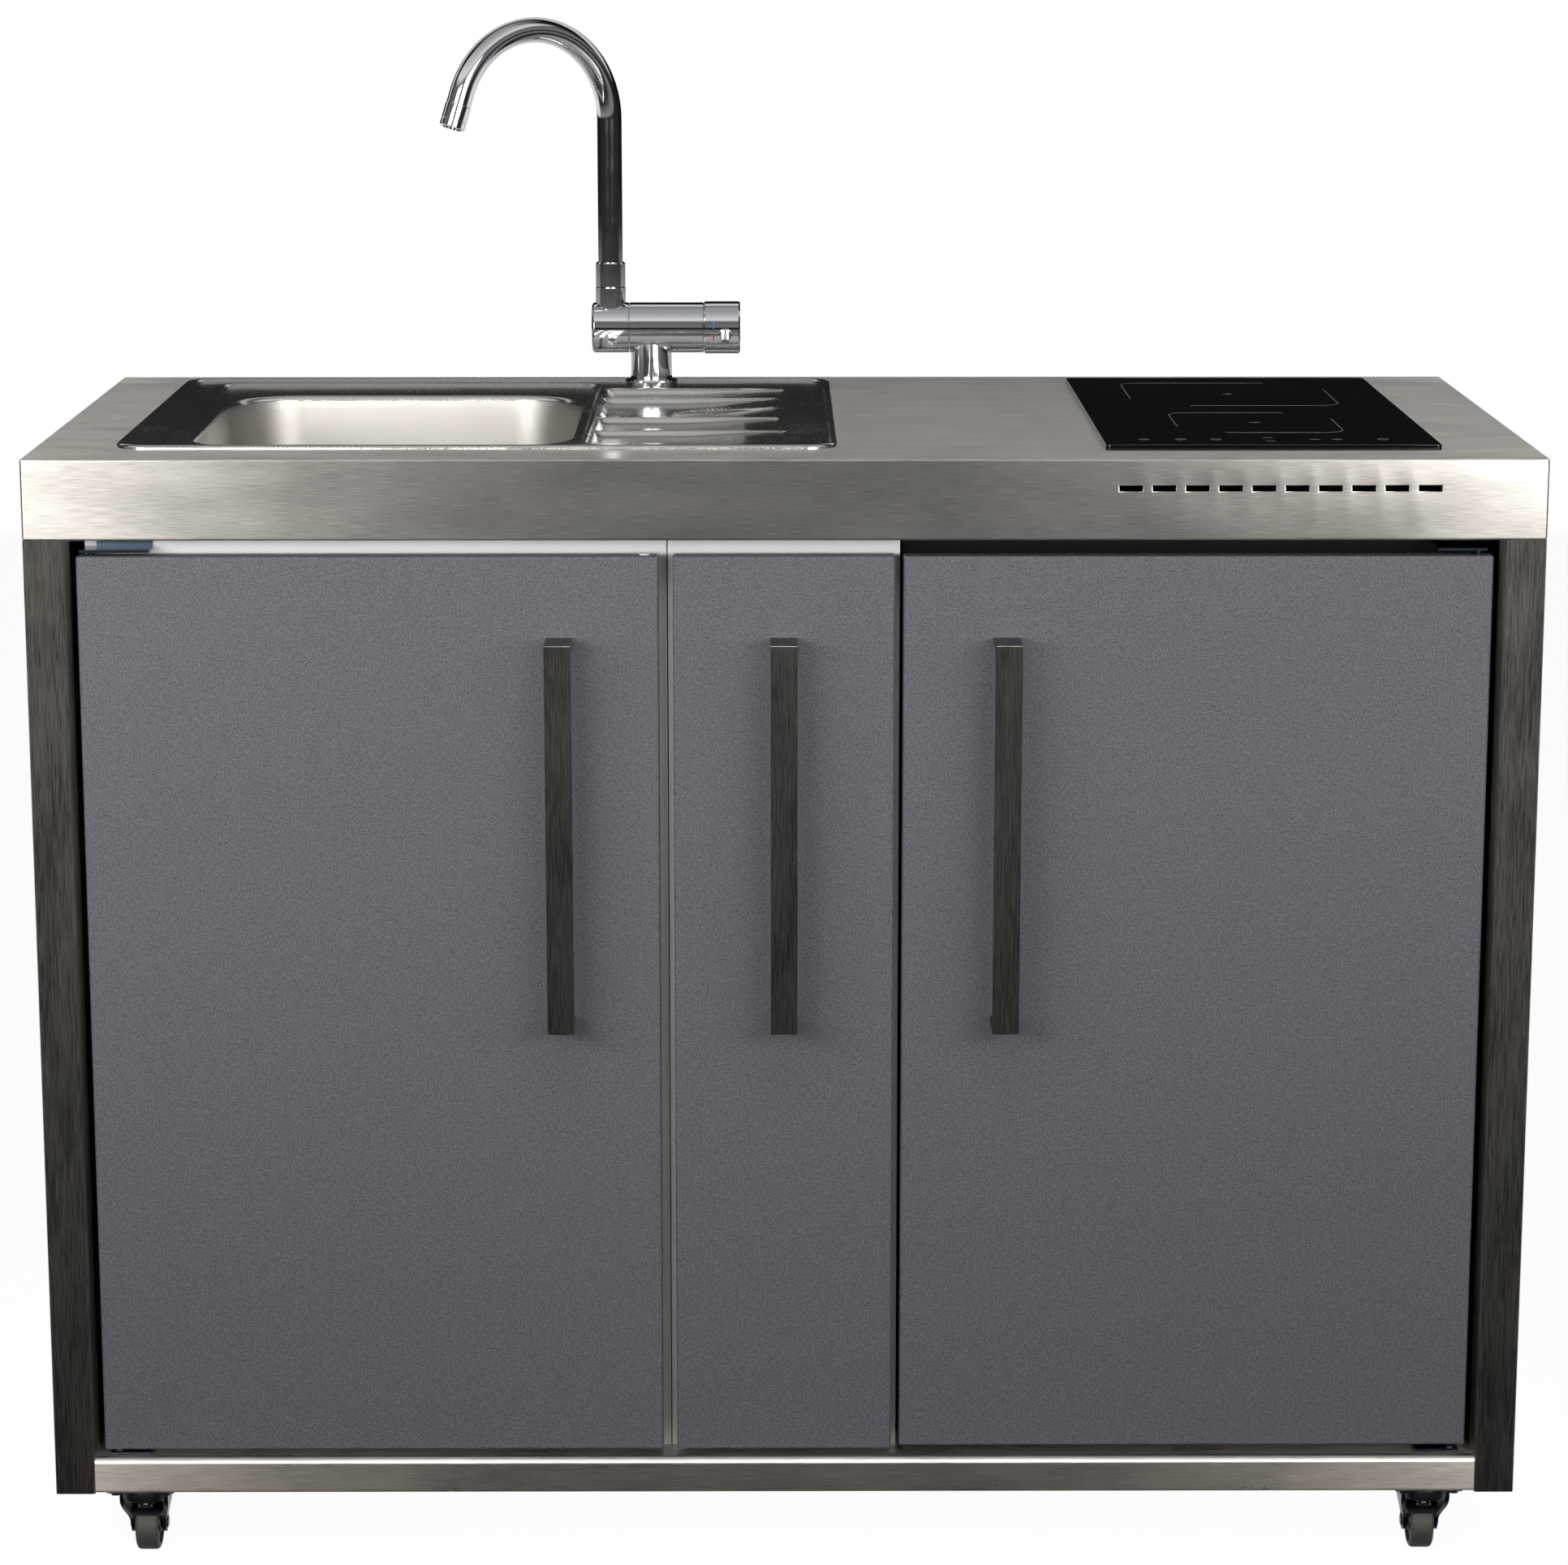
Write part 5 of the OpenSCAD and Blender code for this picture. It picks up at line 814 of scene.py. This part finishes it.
# The aerator's sleeve closes the tip, with a groove above its last turned ring
bend_end = Vector((BEND_R*(1 - math.cos(math.radians(BEND))), 0,
                   BEND_H + BEND_R*math.sin(math.radians(BEND))))
bm = bmesh.new()
turned(bm, [(TUBE_END, TUBE_R - 1), (TUBE_END, TUBE_R + 0.1), (TUBE_END + 0.7, TUBE_R + 0.5),
            (TUBE_END + 14.6, TUBE_R + 0.5), (TUBE_END + 15.0, TUBE_R + 0.1),
            (TUBE_END + 15.6, TUBE_R + 0.1), (TUBE_END + 16.0, TUBE_R + 0.5),
            (TUBE_END + 21.3, TUBE_R + 0.5), (TUBE_END + 22, TUBE_R - 0.2),
            (TUBE_END + 22, TUBE_R - 2.5), (TUBE_END + 18, TUBE_R - 2.5), (TUBE_END + 18, 0)],
       bend_end, tip_way, 64)
bmesh.ops.transform(bm, matrix=placed, verts=bm.verts)
piece("tap_aerator_sleeve", bm, "spout", "tap_chrome", chrome, "tap_aerator")

# The control ring is bored for the barrel's other stub, and its pin leans down to the front
ring_x0, ring_len = control_low.x, control_high.x - control_low.x
PIN_R, PIN_REACH, PIN_SLOPE, PIN_OFF = 3.6, 46, 12, 3
bm = bmesh.new()
turned(bm, [(29, 0), (29, 15.1), (0, 15.1), (0, BARREL_R + 0.2), (0.8, BARREL_R + 1),
            (ring_len - 1.4, BARREL_R + 1), (ring_len, BARREL_R - 0.4), (ring_len, 0)],
       (ring_x0, tap_y, axis_z), (1, 0, 0), 96)
pin_way = Vector((0, -math.cos(math.radians(PIN_SLOPE)), -math.sin(math.radians(PIN_SLOPE))))
pin_start = Vector((ring_x0 + ring_len/2 + PIN_OFF, tap_y, axis_z))
turned(bm, [(22, 6.4), (25.6, 6.4), (26.4, 5.6), (26.4, PIN_R), (PIN_REACH - 0.6, PIN_R),
            (PIN_REACH, PIN_R - 0.6), (PIN_REACH, PIN_R - 1.0), (PIN_REACH - 0.8, PIN_R - 1.3),
            (PIN_REACH - 0.8, 0)], pin_start, pin_way, 40)
piece("tap_control_ring", bm, "tap_control_ring", "tap_chrome", chrome, "tap_control")

# The blue and red marks on the ring are enamel lines that tell cold from hot, above and below
# the barrel's front line by these angles
blue_print = moulded_plastic("blue_enamel_mark", "#2C6FB5", 0.3)
red_print = moulded_plastic("red_enamel_mark", "#B8382C", 0.3)
MARK_R, MARK_X, MARK_W = BARREL_R + 1.05, 8.6, 1.3
for mark_name, look, low, high in (("cold_mark", blue_print, 3, 17),
                                   ("hot_mark", red_print, -24, -10)):
    bm = bmesh.new()
    start_at = math.radians(low)
    first = [bm.verts.new((ring_x0 + MARK_X + dx, tap_y - MARK_R*math.cos(start_at),
                           axis_z + MARK_R*math.sin(start_at))) for dx in (0, MARK_W)]
    edge = bm.edges.new(first)
    bmesh.ops.spin(bm, geom=first + [edge], cent=(0, tap_y, axis_z), axis=(1, 0, 0),
                   angle=-math.radians(high - low), steps=6)
    piece(mark_name, bm, "tap_control_ring", "tap_chrome", look)

brass = bright_metal("turned_brass", "#C9A55E")
braid = bright_metal("braided_steel_sleeve", "#A8A9AC")
coat_node("tap_fixing_nut", brass)
coat_node("inlet_connectors", brass)
coat_node("water_hoses", braid)

# Hob: a black ceramic glass with ground edges on a sheet housing with two windings and a blower.
# The cooking zones and touch keys are thin grey ceramic prints.

# Glass ceramic: melted smooth and rolled, so it mirrors clearly, with dust in dull patches
hob_ceramic, tree, shader, where = material("black_glass_ceramic")
dust = add(tree, "ShaderNodeTexNoise", {"Vector": where, "Scale": 1/0.03, "Detail": 4.0})
vary_gloss(tree, shader, dust.outputs["Fac"], 0.02, 0.07)
shader.inputs["Base Color"].default_value = colour("#08080A")
shader.inputs["IOR"].default_value = 1.5
GLASS_CORNER, GLASS_EDGE = 4, 1.2
bm = bmesh.new()
block(bm, hob_low, hob_high)
soften(bm, edges_of(bm.faces, 2), GLASS_CORNER, 5)
soften(bm, edges_of(facing(bm, (0, 0, 1))), GLASS_EDGE, 2)
piece("hob_ceramic_glass", bm, "frame", "hob_ceramic", hob_ceramic, "hob_glass", sharp=25)

# The prints are a few hundredths of a millimetre thick; they are made 0.1 mm thick to stand
# clear. Places are in millimetres from the glass's front left corner. Each zone is given by its
# middle and its reach, and is drawn as a cross between two lines that turn a corner.
print_grey = moulded_plastic("ceramic_frit_print", "#8C8B8A", 0.4)
LINE, PRINT_T, PRINT_UP = 1.1, 0.1, 0.01
ZONES = ((143.5, 373, 95, 91), (145, 155, 72, 72))
CORNER_X, CORNER_Y, PAST_X, PAST_Y, CROSS = 14, 16, 0.45, 0.38, 4
KEY_Y, PLUS_X, MINUS_X, TIMER_X = 35, 203.5, 184.5, 144.5
KEY_RINGS = (35.5, 67.5, 98.5, 243.5)
strokes = []
for zone_x, zone_y, reach_x, reach_y in ZONES:
    for way in (-1, 1):
        side, end = zone_x + way*reach_x, zone_y - way*reach_y
        run = [(side, zone_y + way*PAST_Y*reach_y), (side, end + way*CORNER_Y),
               (side - way*4, end + way*5), (side - way*CORNER_X, end),
               (zone_x - way*PAST_X*reach_x, end)]
        strokes += zip(run, run[1:])
    strokes += [((zone_x - CROSS, zone_y), (zone_x + CROSS, zone_y)),
                ((zone_x, zone_y - CROSS), (zone_x, zone_y + CROSS))]
for key_x in (MINUS_X, PLUS_X):
    strokes.append(((key_x - CROSS, KEY_Y), (key_x + CROSS, KEY_Y)))
strokes.append(((PLUS_X, KEY_Y - CROSS), (PLUS_X, KEY_Y + CROSS)))
for key_y in (KEY_Y - 11, KEY_Y + 12):
    strokes.append(((TIMER_X - 3.5, key_y), (TIMER_X + 3.5, key_y)))
bm = bmesh.new()
for (ax, ay), (bx, by) in strokes:
    length = math.hypot(bx - ax, by - ay)
    line = block(bm, (-LINE/2, -LINE/2, 0), (length + LINE/2, LINE/2, PRINT_T))
    start = Vector((hob_low.x + ax, hob_low.y + ay, hob_high.z + PRINT_UP))
    bmesh.ops.transform(bm, verts=list({v for face in line for v in face.verts}),
                        matrix=Matrix.Translation(start)
                        @ Matrix.Rotation(math.atan2(by - ay, bx - ax), 4, "Z"))
for ring_x in KEY_RINGS:
    turned(bm, [(0, 3.6), (PRINT_T, 3.6), (PRINT_T, 4.7), (0, 4.7), (0, 3.6)],
           (hob_low.x + ring_x, hob_low.y + KEY_Y, hob_high.z + PRINT_UP), (0, 0, 1), 24)
piece("hob_print", bm, "frame", "hob_ceramic", print_grey)
# The housing is painted near black so that the fascia's slots look shaded inside: painted shade.
hob_sheet_painted_shade = bright_metal("dark_sheet_painted_shade", "#3A3B3E")
copper = bright_metal("enamelled_copper_wire", "#B5673A")
coat_node("hob_housing", hob_sheet_painted_shade)
coat_node("induction_coils", copper)
coat_node("hob_fan", black_plastic)
coat_node("hob_fan_rotor", black_plastic)

# Fronts: three panels folded from steel with a fine-textured anthracite powder coat.
# The outer two hang on pins in zinc-plated hinge plates, the middle one is on the pull-out.
DOOR_BEND = 2.2
door_coat = powder_coat("anthracite_textured_powder_coat", "#5F5F65", 0.55, 0.0014, 0.25, 0.6)
for name, body, node in (("left_door_front", "sink_door", "left_door"),
                         ("pullout_door_front", "pullout", "pullout_front"),
                         ("fridge_door_front", "refrigerator_door", "fridge_door")):
    bm = bmesh.new()
    block(bm, *corners(node))
    soften(bm, edges_of(bm.faces), DOOR_BEND, 4)
    piece(name, bm, body, "door_paint", door_coat, node)
# The hinge plates' zinc is blue from passivation, and painted much darker than the other zinc:
# painted shade.
hinge_zinc_painted_shade = bright_metal("blue_zinc_plate_painted_shade", "#4A5663")
coat_node("door_hinge_plates", hinge_zinc_painted_shade)
coat_node("fridge_hinge_plates", hinge_zinc_painted_shade)
coat_node("left_door_plug", white_plastic)
coat_node("pullout_frame", grey_coat)
coat_node("pullout_trays", grey_coat)
coat_node("fridge_inner_door", white_plastic)
gasket = moulded_plastic("grey_pvc_gasket", "#4A4B4E", 0.6)
coat_node("fridge_gasket", gasket)

# Handles: flat stainless bars with an upright grain, bent back square to the door at both ends.
# Their steel is painted a shade darker than that of the legs: painted shade.
HANDLE_T, HANDLE_EDGE = 6, 0.7
handle_steel_painted_shade = brushed_steel("upright_grained_handle_steel", "#7E7B76", 2, 0.346, contrast=0.45)
for name, body, node in (("left_handle_bar", "sink_door", "left_handle"),
                         ("pullout_handle_bar", "pullout", "pullout_handle"),
                         ("fridge_handle_bar", "refrigerator_door", "fridge_handle")):
    low, high = corners(node)
    bm = bmesh.new()
    outline = [(low.y, low.z), (high.y, low.z), (high.y, low.z + HANDLE_T),
               (low.y + HANDLE_T, low.z + HANDLE_T), (low.y + HANDLE_T, high.z - HANDLE_T),
               (high.y, high.z - HANDLE_T), (high.y, high.z), (low.y, high.z)]
    face = bm.faces.new([bm.verts.new((low.x, y, z)) for y, z in outline])
    grown = bmesh.ops.extrude_face_region(bm, geom=[face])["geom"]
    bmesh.ops.translate(bm, vec=(high.x - low.x, 0, 0),
                        verts=[g for g in grown if isinstance(g, bmesh.types.BMVert)])
    soften(bm, [e for e in bm.edges if e.calc_face_angle(0) > 1.0], HANDLE_EDGE, 2)
    piece(name, bm, body, "dark_brushed_stainless", handle_steel_painted_shade, node)
